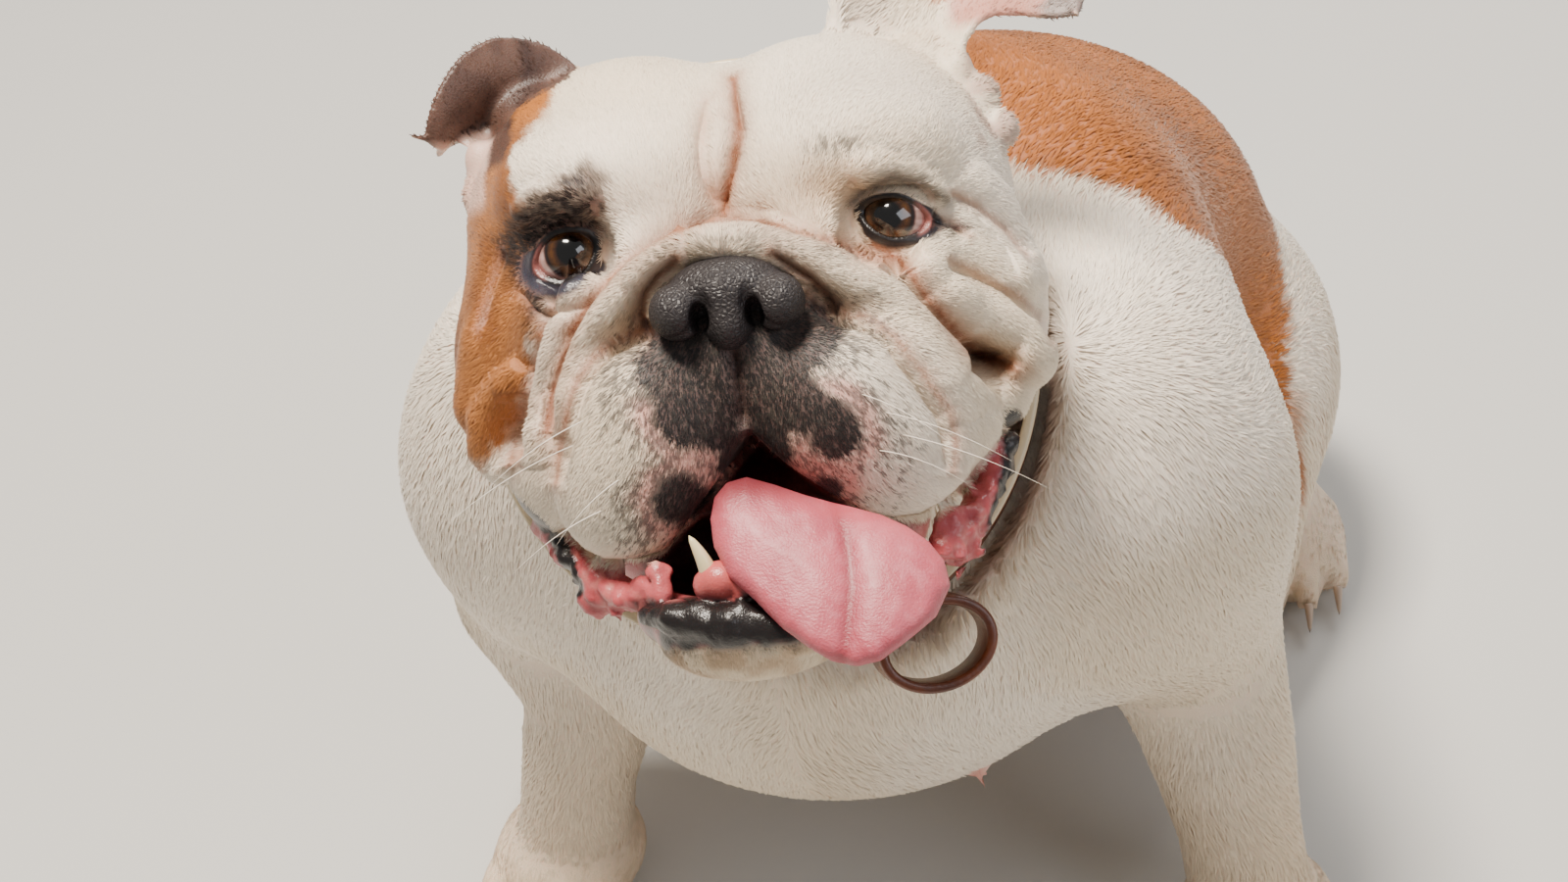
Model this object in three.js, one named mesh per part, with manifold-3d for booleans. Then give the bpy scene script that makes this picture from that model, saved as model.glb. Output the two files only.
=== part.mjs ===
// A life-size English bulldog. It sits on the floor with its head raised, its mouth
// open and its tongue out, and it wears a leather collar.
// Millimetres, +Z up. The dog faces -Y and its left side is +X. The origin is the middle
// of the underside of the whole model's box, on the floor.

import * as THREE from 'three';
import Module from 'manifold-3d';
import { mergeVertices } from 'three/addons/utils/BufferGeometryUtils.js';

const wasm = await Module();
wasm.setup();

// Driving dimensions

const GAP = 0.32;                 // clearance that neighbouring pieces keep
const EYE_SPACING = 102;          // between the middles of the eyes
const EYE_RADIUS = 11.6;
const WITHERS = 343;              // height of the shoulders above the floor
const CHEST_HALF = 126;           // half the width of the rib cage
const CHEST_SHIFT = -13;          // the dog leans this far onto its right front leg
const PAW_LEFT = [150, -12];      // where each front paw stands
const PAW_RIGHT = [-150, -10];
const RUMP_SHIFT = 24;            // the hindquarters sit this far towards the dog's left
const HEAD_AT = [-16.7, -55.8, 399];                 // midpoint of the eyes
const HEAD_YAW = THREE.MathUtils.degToRad(12.2);     // turned towards the dog's left
const HEAD_PITCH = THREE.MathUtils.degToRad(39.8);   // raised
const HEAD_ROLL = THREE.MathUtils.degToRad(-0.8);

const BODY_CELL = 13;             // grid steps: fine on the face, coarse on the trunk
const HEAD_CELL = 5.2;
const TONGUE_CELL = 4.2;
const NOSE_CELL = 3.2;

const eyeX = EYE_SPACING / 2;

// Colours, as the coat and skin show them

const COAT_WHITE = 0xeadfd0;
const COAT_RED = 0xbd7a3c;
const EAR_TAUPE = 0x6e5648;
const NOSE_BLACK = 0x37332f;
const TONGUE_PINK = 0xd0828a;
const LIP_DARK = 0x4a3a38;
const EYE_BROWN = 0x3a2414;
const IVORY = 0xe9dcb4;
const LEATHER = 0x5a2f19;

// Shapes as distance functions: negative inside, zero on the surface

const ball = (c, r, turnZ = 0, turnX = 0) => {
  const turn = new THREE.Matrix4().makeRotationZ(turnZ);
  turn.multiply(new THREE.Matrix4().makeRotationX(turnX)).invert();
  const e = turn.elements;
  return (x, y, z) => {
    const dx = x - c[0];
    const dy = y - c[1];
    const dz = z - c[2];
    const px = (e[0] * dx + e[4] * dy + e[8] * dz) / r[0];
    const py = (e[1] * dx + e[5] * dy + e[9] * dz) / r[1];
    const pz = (e[2] * dx + e[6] * dy + e[10] * dz) / r[2];
    const inside = Math.hypot(px, py, pz);
    const slope = Math.hypot(px / r[0], py / r[1], pz / r[2]);
    return slope > 0 ? inside * (inside - 1) / slope : -Math.min(...r);
  };
};

const limb = (a, ra, b, rb) => {
  const d = [b[0] - a[0], b[1] - a[1], b[2] - a[2]];
  const length2 = d[0] ** 2 + d[1] ** 2 + d[2] ** 2;
  return (x, y, z) => {
    const along = ((x - a[0]) * d[0] + (y - a[1]) * d[1] + (z - a[2]) * d[2]) / length2;
    const t = Math.min(1, Math.max(0, along));
    const away = Math.hypot(x - a[0] - t * d[0], y - a[1] - t * d[1], z - a[2] - t * d[2]);
    return away - (ra + (rb - ra) * t);
  };
};

const chain = (points) => {
  const links = [];
  for (let i = 1; i < points.length; i += 1) {
    const [a, b] = [points[i - 1], points[i]];
    links.push(limb(a, a[3], b, b[3]));
  }
  return (x, y, z) => Math.min(...links.map((link) => link(x, y, z)));
};

const softMin = (a, b, k) => {
  const h = Math.max(k - Math.abs(a - b), 0) / k;
  return Math.min(a, b) - h * h * k / 4;
};

const joined = (k, shapes) => (x, y, z) => (
  shapes.reduce((near, shape) => softMin(near, shape(x, y, z), k), 1e3)
);

const carved = (k, base, cuts) => (x, y, z) => (
  cuts.reduce((near, cut) => -softMin(-near, cut(x, y, z), k), base(x, y, z))
);

const both = (make) => [make(1), make(-1)];

// The skin of a distance function, as a closed mesh: each grid cell that the surface
// crosses gets one vertex for each sheet of the surface in it, and each crossed grid
// edge gets one four-sided face.

const CORNERS = [[0, 0, 0], [1, 0, 0], [0, 1, 0], [1, 1, 0], [0, 0, 1], [1, 0, 1], [0, 1, 1], [1, 1, 1]];
const EDGES = [[0, 1], [2, 3], [4, 5], [6, 7], [0, 2], [1, 3], [4, 6], [5, 7], [0, 4], [1, 5], [2, 6], [3, 7]];
const FACES = [[0, 2, 6, 4], [1, 3, 7, 5], [0, 1, 5, 4], [2, 3, 7, 6], [0, 1, 3, 2], [4, 5, 7, 6]];

const edgeBetween = (a, b) => EDGES.findIndex(([p, q]) => (p === a && q === b) || (p === b && q === a));

function sheetsOf(inside) {
  const group = EDGES.map((edge, i) => i);
  const find = (i) => (group[i] === i ? i : find(group[i]));
  for (const face of FACES) {
    for (let k = 0; k < 4; k += 1) {
      const before = face[(k + 3) % 4];
      const here = face[k];
      const after = face[(k + 1) % 4];
      const opposite = face[(k + 2) % 4];
      const alone = inside[here] && !inside[before] && !inside[after];
      const hole = !inside[here] && inside[before] && inside[after] && inside[opposite];
      const half = inside[here] && inside[after] && !inside[before] && !inside[opposite];
      if (alone || hole) {
        group[find(edgeBetween(before, here))] = find(edgeBetween(here, after));
      }
      if (half) {
        group[find(edgeBetween(before, here))] = find(edgeBetween(after, opposite));
      }
    }
  }
  return group.map((g, i) => find(i));
}

function skinOf(shape, low, high, cell) {
  const count = low.map((v, i) => Math.ceil((high[i] - v) / cell) + 1);
  const [nx, ny, nz] = count;
  const at = (i, j, k) => i + nx * (j + ny * k);
  const field = new Float64Array(nx * ny * nz);
  for (let k = 0; k < nz; k += 1) {
    for (let j = 0; j < ny; j += 1) {
      for (let i = 0; i < nx; i += 1) {
        field[at(i, j, k)] = shape(low[0] + i * cell, low[1] + j * cell, low[2] + k * cell);
      }
    }
  }
  const positions = [];
  const vertexOf = new Map();
  for (let k = 0; k < nz - 1; k += 1) {
    for (let j = 0; j < ny - 1; j += 1) {
      for (let i = 0; i < nx - 1; i += 1) {
        const values = CORNERS.map(([a, b, c]) => field[at(i + a, j + b, k + c)]);
        const inside = values.map((v) => v < 0);
        if (inside.every(Boolean) || !inside.some(Boolean)) {
          continue;
        }
        const sheets = sheetsOf(inside);
        const sums = new Map();
        EDGES.forEach(([p, q], e) => {
          if (inside[p] === inside[q]) {
            return;
          }
          const t = values[p] / (values[p] - values[q]);
          const sum = sums.get(sheets[e]) ?? [0, 0, 0, 0];
          for (let axis = 0; axis < 3; axis += 1) {
            sum[axis] += CORNERS[p][axis] + t * (CORNERS[q][axis] - CORNERS[p][axis]);
          }
          sum[3] += 1;
          sums.set(sheets[e], sum);
        });
        for (const [sheet, sum] of sums) {
          vertexOf.set(at(i, j, k) * 12 + sheet, positions.length / 3);
          positions.push(
            low[0] + (i + sum[0] / sum[3]) * cell,
            low[1] + (j + sum[1] / sum[3]) * cell,
            low[2] + (k + sum[2] / sum[3]) * cell,
          );
        }
        EDGES.forEach((edge, e) => {
          if (inside[edge[0]] !== inside[edge[1]]) {
            vertexOf.set(`${at(i, j, k)}:${e}`, vertexOf.get(at(i, j, k) * 12 + sheets[e]));
          }
        });
      }
    }
  }
  const index = [];
  const cellsRound = [
    [[0, 0, 0, 0], [0, -1, 0, 1], [0, -1, -1, 3], [0, 0, -1, 2]],
    [[0, 0, 0, 4], [0, 0, -1, 6], [-1, 0, -1, 7], [-1, 0, 0, 5]],
    [[0, 0, 0, 8], [-1, 0, 0, 9], [-1, -1, 0, 11], [0, -1, 0, 10]],
  ];
  const steps = [[1, 0, 0], [0, 1, 0], [0, 0, 1]];
  for (let k = 1; k < nz - 1; k += 1) {
    for (let j = 1; j < ny - 1; j += 1) {
      for (let i = 1; i < nx - 1; i += 1) {
        for (let axis = 0; axis < 3; axis += 1) {
          const [a, b, c] = steps[axis];
          const here = field[at(i, j, k)] < 0;
          if (here === field[at(i + a, j + b, k + c)] < 0) {
            continue;
          }
          const quad = cellsRound[axis].map(([p, q, r, e]) => vertexOf.get(`${at(i + p, j + q, k + r)}:${e}`));
          if (!here) {
            quad.reverse();
          }
          index.push(quad[0], quad[1], quad[2], quad[0], quad[2], quad[3]);
        }
      }
    }
  }
  const geometry = new THREE.BufferGeometry();
  geometry.setAttribute('position', new THREE.Float32BufferAttribute(positions, 3));
  geometry.setIndex(index);
  return geometry;
}

// Fewer triangles where the surface is flat: short passes that each collapse the edges
// whose loss moves the surface least, until at most `target` triangles are left.

function quadricOf(a, b, c) {
  const normal = new THREE.Vector3().subVectors(b, a).cross(new THREE.Vector3().subVectors(c, a));
  const area = normal.length();
  normal.normalize();
  const plane = [normal.x, normal.y, normal.z, -normal.dot(a)];
  return plane.flatMap((p, i) => plane.slice(i).map((q) => p * q * area));
}

function errorOf(quadric, p) {
  const v = [p.x, p.y, p.z, 1];
  let sum = 0;
  let n = 0;
  for (let i = 0; i < 4; i += 1) {
    for (let j = i; j < 4; j += 1) {
      sum += quadric[n] * v[i] * v[j] * (i === j ? 1 : 2);
      n += 1;
    }
  }
  return Math.abs(sum);
}

function thinned(geometry, target) {
  const position = geometry.attributes.position;
  const points = Array.from({ length: position.count }, (_, i) => new THREE.Vector3().fromBufferAttribute(position, i));
  const quadrics = points.map(() => new Array(10).fill(0));
  let faces = [];
  for (let i = 0; i < geometry.index.count; i += 3) {
    faces.push([0, 1, 2].map((k) => geometry.index.getX(i + k)));
  }
  for (const face of faces) {
    const quadric = quadricOf(...face.map((v) => points[v]));
    face.forEach((v) => quadric.forEach((q, n) => {
      quadrics[v][n] += q;
    }));
  }
  const crossOf = (a, b, c) => new THREE.Vector3().subVectors(b, a).cross(new THREE.Vector3().subVectors(c, a));
  while (faces.length > target) {
    const round = points.map(() => []);
    faces.forEach((face) => face.forEach((v) => round[v].push(face)));
    const edges = [];
    for (const face of faces) {
      for (let k = 0; k < 3; k += 1) {
        const a = face[k];
        const b = face[(k + 1) % 3];
        if (a < b) {
          const middle = points[a].clone().add(points[b]).multiplyScalar(0.5);
          const sum = quadrics[a].map((q, n) => q + quadrics[b][n]);
          const place = [middle, points[a], points[b]].reduce((best, p) => (
            errorOf(sum, p) < errorOf(sum, best) ? p : best
          ));
          const cost = errorOf(sum, place) + 0.004 * points[a].distanceToSquared(points[b]);
          edges.push({ a, b, place, sum, cost });
        }
      }
    }
    edges.sort((p, q) => p.cost - q.cost);
    const busy = new Set();
    const gone = new Set();
    let left = Math.min(faces.length - target, Math.ceil(faces.length * 0.12));
    for (const { a, b, place, sum } of edges) {
      if (left <= 0) {
        break;
      }
      const near = (v) => new Set(round[v].flat().filter((w) => w !== v));
      const nearA = near(a);
      const shared = [...near(b)].filter((v) => nearA.has(v));
      const ring = [...round[a], ...round[b]];
      const turned = ring.some((face) => {
        if (face.includes(a) && face.includes(b)) {
          return false;
        }
        const before = crossOf(...face.map((v) => points[v]));
        const after = crossOf(...face.map((v) => (v === a || v === b ? place : points[v])));
        return before.dot(after) < 0.35 * before.length() * after.length() || after.length() < 0.4;
      });
      if (shared.length !== 2 || turned || ring.some((face) => face.some((v) => busy.has(v)))) {
        continue;
      }
      ring.forEach((face) => face.forEach((v) => busy.add(v)));
      points[a] = place.clone();
      quadrics[a] = sum;
      round[b].forEach((face) => {
        if (face.includes(a)) {
          gone.add(face);
        } else {
          face[face.indexOf(b)] = a;
        }
      });
      left -= 2;
    }
    if (gone.size === 0) {
      break;
    }
    faces = faces.filter((face) => !gone.has(face));
  }
  const slim = new THREE.BufferGeometry();
  slim.setAttribute('position', new THREE.Float32BufferAttribute(points.flatMap((p) => [p.x, p.y, p.z]), 3));
  slim.setIndex(faces.flat());
  return slim;
}

// Joining and cutting closed meshes

function solid(geometry) {
  const bare = geometry.clone();
  bare.deleteAttribute('normal');
  bare.deleteAttribute('uv');
  const closed = mergeVertices(bare, 1e-4);
  return new wasm.Manifold(new wasm.Mesh({
    numProp: 3,
    vertProperties: new Float32Array(closed.attributes.position.array),
    triVerts: new Uint32Array(closed.index.array),
  }));
}

function geometryOf(manifold) {
  const mesh = manifold.getMesh();
  const geometry = new THREE.BufferGeometry();
  geometry.setAttribute('position', new THREE.Float32BufferAttribute(mesh.vertProperties, 3));
  geometry.setIndex(Array.from(mesh.triVerts));
  return geometry;
}

function largest(manifold) {
  const pieces = manifold.decompose();
  return pieces.reduce((most, piece) => (piece.volume() > most.volume() ? piece : most));
}

function moved(manifold, matrix) {
  return solid(geometryOf(manifold).applyMatrix4(matrix));
}

function grown(manifold, by = GAP) {
  const geometry = geometryOf(manifold);
  geometry.computeVertexNormals();
  const position = geometry.attributes.position;
  const normal = geometry.attributes.normal;
  for (let i = 0; i < position.count; i += 1) {
    position.setXYZ(
      i,
      position.getX(i) + by * normal.getX(i),
      position.getY(i) + by * normal.getY(i),
      position.getZ(i) + by * normal.getZ(i),
    );
  }
  return solid(geometry).add(manifold);
}

function block(low, high) {
  const size = low.map((v, i) => high[i] - v);
  const middle = low.map((v, i) => (high[i] + v) / 2);
  return solid(new THREE.BoxGeometry(...size).translate(...middle));
}

function egg(centre, radii, around = 12) {
  const shape = new THREE.SphereGeometry(1, around, Math.round(around * 0.6));
  return solid(shape.rotateX(Math.PI / 2).scale(...radii).translate(...centre));
}

const FAR = 900;
const aboveFloor = block([-FAR, -FAR, 0], [FAR, FAR, FAR]);

// The head, in its own frame: origin between the eyes, -Y out of the face, +Z up the face

const headTurn = new THREE.Matrix4().makeTranslation(...HEAD_AT);
headTurn.multiply(new THREE.Matrix4().makeRotationZ(HEAD_YAW));
headTurn.multiply(new THREE.Matrix4().makeRotationX(-HEAD_PITCH));
headTurn.multiply(new THREE.Matrix4().makeRotationY(HEAD_ROLL));

// The neck fills the collar: an oval across the head's own depth axis, leaning back at its top

const NECK_OVAL = [92, 99];
const NECK_AT = [0, 77, -38];
const NECK_LEAN = 0.17;
const neckInHead = new THREE.Matrix4().makeTranslation(...NECK_AT);
neckInHead.multiply(new THREE.Matrix4().makeRotationX(-NECK_LEAN));
const neckTurn = headTurn.clone().multiply(neckInHead);
const neckMiddle = new THREE.Vector3().setFromMatrixPosition(neckTurn).toArray();
const intoNeck = neckTurn.clone().invert().elements;

const COLLAR_WIDTH = 22;
const COLLAR_THICK = 4;
const collarGroove = (x, y, z) => {
  const e = intoNeck;
  const across = (e[0] * x + e[4] * y + e[8] * z + e[12]) / NECK_OVAL[0];
  const along = e[1] * x + e[5] * y + e[9] * z + e[13];
  const up = (e[2] * x + e[6] * y + e[10] * z + e[14]) / NECK_OVAL[1];
  const outside = (Math.hypot(across, up) - 1) * NECK_OVAL[0];
  return Math.max(Math.abs(along) - COLLAR_WIDTH / 2 - 1, -outside - 1, outside - 16);
};

// Trunk, neck and legs as one body in the sitting pose

const shoulderY = 22;
const ribs = ball([CHEST_SHIFT + 4, 15, 222], [CHEST_HALF, 110, 104]);
const brisket = ball([CHEST_SHIFT - 12, -2, 176], [94, 70, 73]);
const withers = ball([6, 82, WITHERS - 76], [122, 86, 76]);
const back = ball([RUMP_SHIFT * 0.4, 136, 234], [112, 102, 98]);
const loin = ball([RUMP_SHIFT + 2, 210, 190], [114, 92, 98]);
const rump = ball([RUMP_SHIFT, 250, 106], [110, 84, 112]);
const shoulders = both((s) => ball([CHEST_SHIFT + s * 106, shoulderY, 236], [59, 74, 84]));

const foreLegs = both((s) => {
  const [px, py] = s > 0 ? PAW_LEFT : PAW_RIGHT;
  const elbow = [CHEST_SHIFT - 4 + s * 133, 34, 142, 40];
  const wrist = [px - s * 10, py + 12, 62, 26.5];
  return chain([[CHEST_SHIFT + s * 118, 18, 225, 48], elbow, wrist, [px - s * 4, py + 6, 26, 27]]);
});

const hipX = (s, half) => RUMP_SHIFT + s * half;
const thighs = both((s) => ball([hipX(s, 92), 214, 98], [58, 90, 94]));
const knees = both((s) => ball([hipX(s, 90), 140, 78], [40, 46, 54]));
const hocks = both((s) => chain([
  [hipX(s, 92), 162, 52, 29],
  [hipX(s, 114), 262, 24, 23],
  [hipX(s, 116), 214, 18, 21],
]));

const neckCore = ball(neckMiddle, [NECK_OVAL[0] - 2, 70, NECK_OVAL[1] - 2], HEAD_YAW, -HEAD_PITCH - NECK_LEAN);
const bodyShape = carved(8, joined(34, [
  ribs, brisket, withers, back, loin, rump, neckCore, ...shoulders, ...thighs, ...knees, ...foreLegs, ...hocks,
]), [collarGroove]);

const bodyLow = [-230, -150, -30];
const bodyHigh = [240, 380, 420];
const wholeBody = solid(thinned(skinOf(bodyShape, bodyLow, bodyHigh, BODY_CELL), 3440));

// The head's mass, in its own frame

const MOUTH_CORNER = [78, 13, -70];
const skull = both((s) => ball([s * 32, 55, 8], [60, 62, 58]));
const cheeks = both((s) => ball([s * 57, 44, -32], [42, 46, 46]));
const brows = both((s) => ball([s * 40, 10, 22], [31, 23, 20]));
const underEyes = both((s) => ball([s * 36, 2, -26], [34, 28, 30]));
const muzzle = ball([0, -4, -44], [44, 37, 40]);
const flews = both((s) => ball([s * 30, -17, -57], [31, 29, 29]));
const jowls = both((s) => ball([s * 50, -3, -68], [25, 29, 27]));
const cheekFolds = both((s) => chain([
  [s * 68, 14, -10, 9], [s * 80, 16, -26, 11], [s * 85, 20, -44, 12], [s * 78, 22, -60, 11],
]));
const noseRope = both((s) => chain([
  [0, -26, -3, 8.5], [s * 18, -25, -7, 8.5], [s * 36, -22, -21, 8.5],
  [s * 50, -16, -36, 9], [s * 59, -9, -51, 9], [s * 64, -2, -64, 9],
]));
const headMass = joined(12, [...skull, ...cheeks, ...brows, ...underEyes, muzzle]);
const faceMass = joined(7, [headMass, ...flews, ...jowls, ...cheekFolds, ...noseRope]);

const sockets = both((s) => ball([s * eyeX, -7, -1], [16, 13, 11.5]));
const browCrease = chain([[0, -6, 6, 3], [-1, -8, 20, 2.5], [-2, 0, 40, 1.5]]);
const foldHollows = both((s) => chain([[s * 62, -5, -24, 2.5], [s * 72, 6, -42, 3.5], [s * 74, 8, -50, 4]]));
const ropeCreases = both((s) => chain([[0, -14, 8, 3], [s * 24, -14, 1, 3], [s * 44, -12, -14, 3]]));
const philtrum = chain([[0, -48, -34, 2.5], [0, -50, -48, 3], [1, -48, -66, 4]]);
const mouthLine = chain([
  [-MOUTH_CORNER[0], MOUTH_CORNER[1], MOUTH_CORNER[2] - 4, 5], [-66, -6, -94, 7], [-48, -24, -103, 8],
  [-24, -44, -98, 8], [-4, -54, -76, 8], [8, -54, -75, 8], [28, -46, -86, 8], [52, -26, -101, 8],
  [70, -6, -96, 7], [...MOUTH_CORNER, 5],
]);
const mouthHollow = ball([4, -16, -90], [50, 36, 11]);

const headShape = carved(4, carved(10, faceMass, sockets), [
  browCrease, ...foldHollows, ...ropeCreases, philtrum, mouthLine, mouthHollow,
]);

const headLow = [-118, -66, -106];
const headHigh = [118, 126, 76];
const headBack = 60;

function lidRing(s) {
  const ring = new THREE.TorusGeometry(EYE_RADIUS, 2.6, 6, 18);
  ring.scale(1, 0.8, 1);
  ring.rotateX(Math.PI / 2);
  ring.rotateZ(s * THREE.MathUtils.degToRad(12));
  ring.translate(s * eyeX, -1.6, 0);
  return solid(ring);
}

const eyeBalls = both((s) => egg([s * eyeX, 6.2, 0], [EYE_RADIUS, EYE_RADIUS, EYE_RADIUS], 14));
let headSolid = solid(thinned(skinOf(headShape, headLow, headHigh, HEAD_CELL), 3500));
headSolid = headSolid.intersect(block([-FAR, -FAR, -FAR], [FAR, headBack, FAR]));
both(lidRing).forEach((ring) => {
  headSolid = headSolid.add(ring);
});
eyeBalls.forEach((eye) => {
  headSolid = headSolid.subtract(grown(eye));
});

// Nose leather: a broad pad with a wing on each side and comma-shaped nostrils

const noseShape = carved(2, joined(5, [
  ball([0, -35, -20], [21, 13, 13]),
  ...both((s) => ball([s * 15, -38, -24], [10, 10, 10.5])),
  ball([0, -40, -32], [9, 9, 9]),
]), [
  ...both((s) => chain([
    [s * 9, -48, -18, 2.4], [s * 9.5, -46, -26, 3.4], [s * 13, -46, -32, 3.4], [s * 20, -43, -33, 2.4],
  ])),
  chain([[0, -51, -24, 1.6], [0, -50, -42, 2]]),
]);
const noseSolid = solid(thinned(skinOf(noseShape, [-32, -56, -48], [32, -16, 0], NOSE_CELL), 520));
headSolid = largest(headSolid.subtract(grown(noseSolid)));

// Collar: a leather band round the neck, under the jaw

function ringOf(outer, inner, width) {
  const outline = new THREE.Shape();
  outline.absellipse(0, 0, ...outer, 0, 2 * Math.PI, false, 0);
  const hole = new THREE.Path();
  hole.absellipse(0, 0, ...inner, 0, 2 * Math.PI, true, 0);
  outline.holes.push(hole);
  const ring = new THREE.ExtrudeGeometry(outline, { depth: width, bevelEnabled: false, curveSegments: 16 });
  return solid(ring.translate(0, 0, -width / 2).rotateX(Math.PI / 2));
}

const collarOuter = NECK_OVAL.map((r) => r + COLLAR_THICK);
const collarInHead = moved(ringOf(collarOuter, NECK_OVAL, COLLAR_WIDTH), neckInHead);

// Lower jaw with its dark front lip, the loose lip flaps at its sides and the throat

const jawShape = carved(3, joined(9, [
  ball([0, -6, -113], [42, 38, 20]),
  ball([-1, -30, -120], [30, 23, 16]),
  ball([0, 26, -92], [54, 40, 34]),
  chain([[-52, -8, -104, 9], [-46, -24, -112, 8], [-38, -32, -112, 6]]),
  chain([[68, 0, -96, 8], [64, -14, -104, 8], [58, -24, -106, 6]]),
]), [
  ball([3, -22, -97], [36, 32, 11]),
]);
const jawRaw = solid(thinned(skinOf(jawShape, [-72, -62, -146], [86, 106, -44], HEAD_CELL), 900));
const jawFront = block([-FAR, -FAR, -FAR], [FAR, headBack, FAR]);
const jawSolid = largest(jawRaw.intersect(jawFront).subtract(grown(headSolid)));

// Tongue: broad, lolling over the lower lip on the dog's left, with a middle groove

const tongueShape = carved(3, joined(10, [
  ball([12, -26, -93], [26, 26, 7]),
  ball([22, -50, -99], [34, 9, 15], 0.1, 0.35),
  ball([26, -59, -113], [29, 7, 15], 0.1, 0.12),
]), [chain([[22, -60, -92, 1.4], [26, -69, -112, 1.8], [27, -70, -128, 1.4]])]);
const tongueRaw = solid(thinned(skinOf(tongueShape, [-24, -78, -140], [70, 6, -74], TONGUE_CELL), 400));
const tongueSolid = largest(tongueRaw.subtract(grown(jawSolid)).subtract(grown(headSolid)));

// The lower canine tooth that the open lip shows, in its bump of gum

const gumAt = [-9.5, -47, -105];
const toothTip = new THREE.Vector3(-17, -51, -89);
const toothRoot = new THREE.Vector3(-12.5, -45, -105);
const toothLean = new THREE.Quaternion().setFromUnitVectors(
  new THREE.Vector3(0, 1, 0),
  toothTip.clone().sub(toothRoot).normalize(),
);
const tooth = new THREE.ConeGeometry(3.9, toothTip.distanceTo(toothRoot), 10);
tooth.applyQuaternion(toothLean).translate(...toothTip.clone().add(toothRoot).multiplyScalar(0.5));
let toothSolid = solid(tooth);
let jawWithGum = jawSolid.add(egg(gumAt, [8, 6.5, 6.5], 8));
jawWithGum = jawWithGum.subtract(grown(tongueSolid)).subtract(grown(headSolid));
jawWithGum = largest(jawWithGum.subtract(grown(collarInHead)));
toothSolid = largest(toothSolid.subtract(grown(jawWithGum)).subtract(grown(tongueSolid)));

// Ears: a thin flap on a root, bent along its midline and cupped across it

function flap(spine, halfWidth, side, cup, thickness, steps = 8, across = 4) {
  const curve = new THREE.CatmullRomCurve3(spine.map((p) => new THREE.Vector3(...p)));
  const rows = [[], []];
  for (let i = 0; i <= steps; i += 1) {
    const v = i / steps;
    const centre = curve.getPoint(v);
    const along = curve.getTangent(v);
    const sideways = new THREE.Vector3(...side).addScaledVector(along, -along.dot(new THREE.Vector3(...side)));
    sideways.normalize();
    const out = new THREE.Vector3().crossVectors(along, sideways);
    for (let j = 0; j <= across; j += 1) {
      const u = 2 * j / across - 1;
      const edge = 1 - 0.45 * u * u;
      const point = centre.clone().addScaledVector(sideways, u * halfWidth(v));
      point.addScaledVector(out, cup * u * u * halfWidth(v));
      [1, -1].forEach((face, n) => {
        rows[n].push(point.clone().addScaledVector(out, face * edge * thickness / 2));
      });
    }
  }
  const row = across + 1;
  const sheet = (steps + 1) * row;
  const index = [];
  const quad = (a, b, c, d) => index.push(a, b, c, a, c, d);
  for (let i = 0; i < steps; i += 1) {
    for (let j = 0; j < across; j += 1) {
      const a = i * row + j;
      quad(a, a + row, a + row + 1, a + 1);
      quad(sheet + a, sheet + a + 1, sheet + a + row + 1, sheet + a + row);
    }
    const right = i * row + across;
    quad(i * row, sheet + i * row, sheet + (i + 1) * row, (i + 1) * row);
    quad(right, right + row, sheet + right + row, sheet + right);
  }
  for (let j = 0; j < across; j += 1) {
    const last = steps * row + j;
    quad(j, j + 1, sheet + j + 1, sheet + j);
    quad(last, sheet + last, sheet + last + 1, last + 1);
  }
  const geometry = new THREE.BufferGeometry();
  const points = rows.flat().flatMap((p) => [p.x, p.y, p.z]);
  geometry.setAttribute('position', new THREE.Float32BufferAttribute(points, 3));
  geometry.setIndex(index);
  const shape = solid(geometry);
  if (shape.volume() > 0) {
    return shape;
  }
  const flipped = geometry.clone();
  flipped.setIndex(index.slice().reverse());
  return solid(flipped);
}

const earWidth = (root, tip) => (v) => (root + (tip - root) * v) * Math.sqrt(Math.max(0.06, 1 - v ** 5));
const rightFlap = flap(
  [[-55, 62, 53], [-67, 57, 58], [-78, 51, 57], [-88, 46, 51], [-96, 43, 43]],
  earWidth(16, 15), [0.4, -0.35, 0.85], 0.35, 4.4,
);
const leftFlap = flap(
  [[56, 60, 54], [64, 62, 70], [78, 64, 82], [95, 63, 82], [110, 60, 75], [121, 57, 68]],
  earWidth(22, 13), [-0.55, 0.12, 0.8], 0.42, 4.4,
);
const earRoots = both((s) => egg([s * 66, 60, 50], [18, 14, 15], 10));
const burrs = both((s) => egg([s * 83, 48, 38], [8, 7, 8], 8).add(egg([s * 90, 44, 26], [6, 7, 6], 8)));
const headClear = grown(headSolid);
const earLeft = largest(leftFlap.add(earRoots[0]).add(burrs[0]).subtract(headClear));
const earRight = largest(rightFlap.add(earRoots[1]).add(burrs[1]).subtract(headClear));


// The head rests on the neck at one flat face, and the trunk gives way to the ears,
// the jaw and the collar

const collar = moved(collarInHead, headTurn);
const jawClear = grown(moved(jawWithGum, headTurn));
const headSpace = moved(block([-FAR, -FAR, -128], [FAR, headBack + GAP, FAR]), headTurn);
const neighbours = [
  grown(moved(earLeft, headTurn)),
  grown(moved(earRight, headTurn)),
  jawClear,
  grown(collar),
  headSpace,
];
const clearOfHead = (piece) => neighbours.reduce((rest, part) => rest.subtract(part), piece);

// Cutting planes: the neck leaves the trunk on a slanted plane, each leg on its own box

const neckTilt = new THREE.Matrix4().makeTranslation(0, 52, 296);
neckTilt.multiply(new THREE.Matrix4().makeRotationX(THREE.MathUtils.degToRad(26)));
const halfGap = GAP / 2;
const neckSide = (offset) => moved(block([-FAR, -FAR, offset], [FAR, FAR, FAR]), neckTilt);

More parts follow.
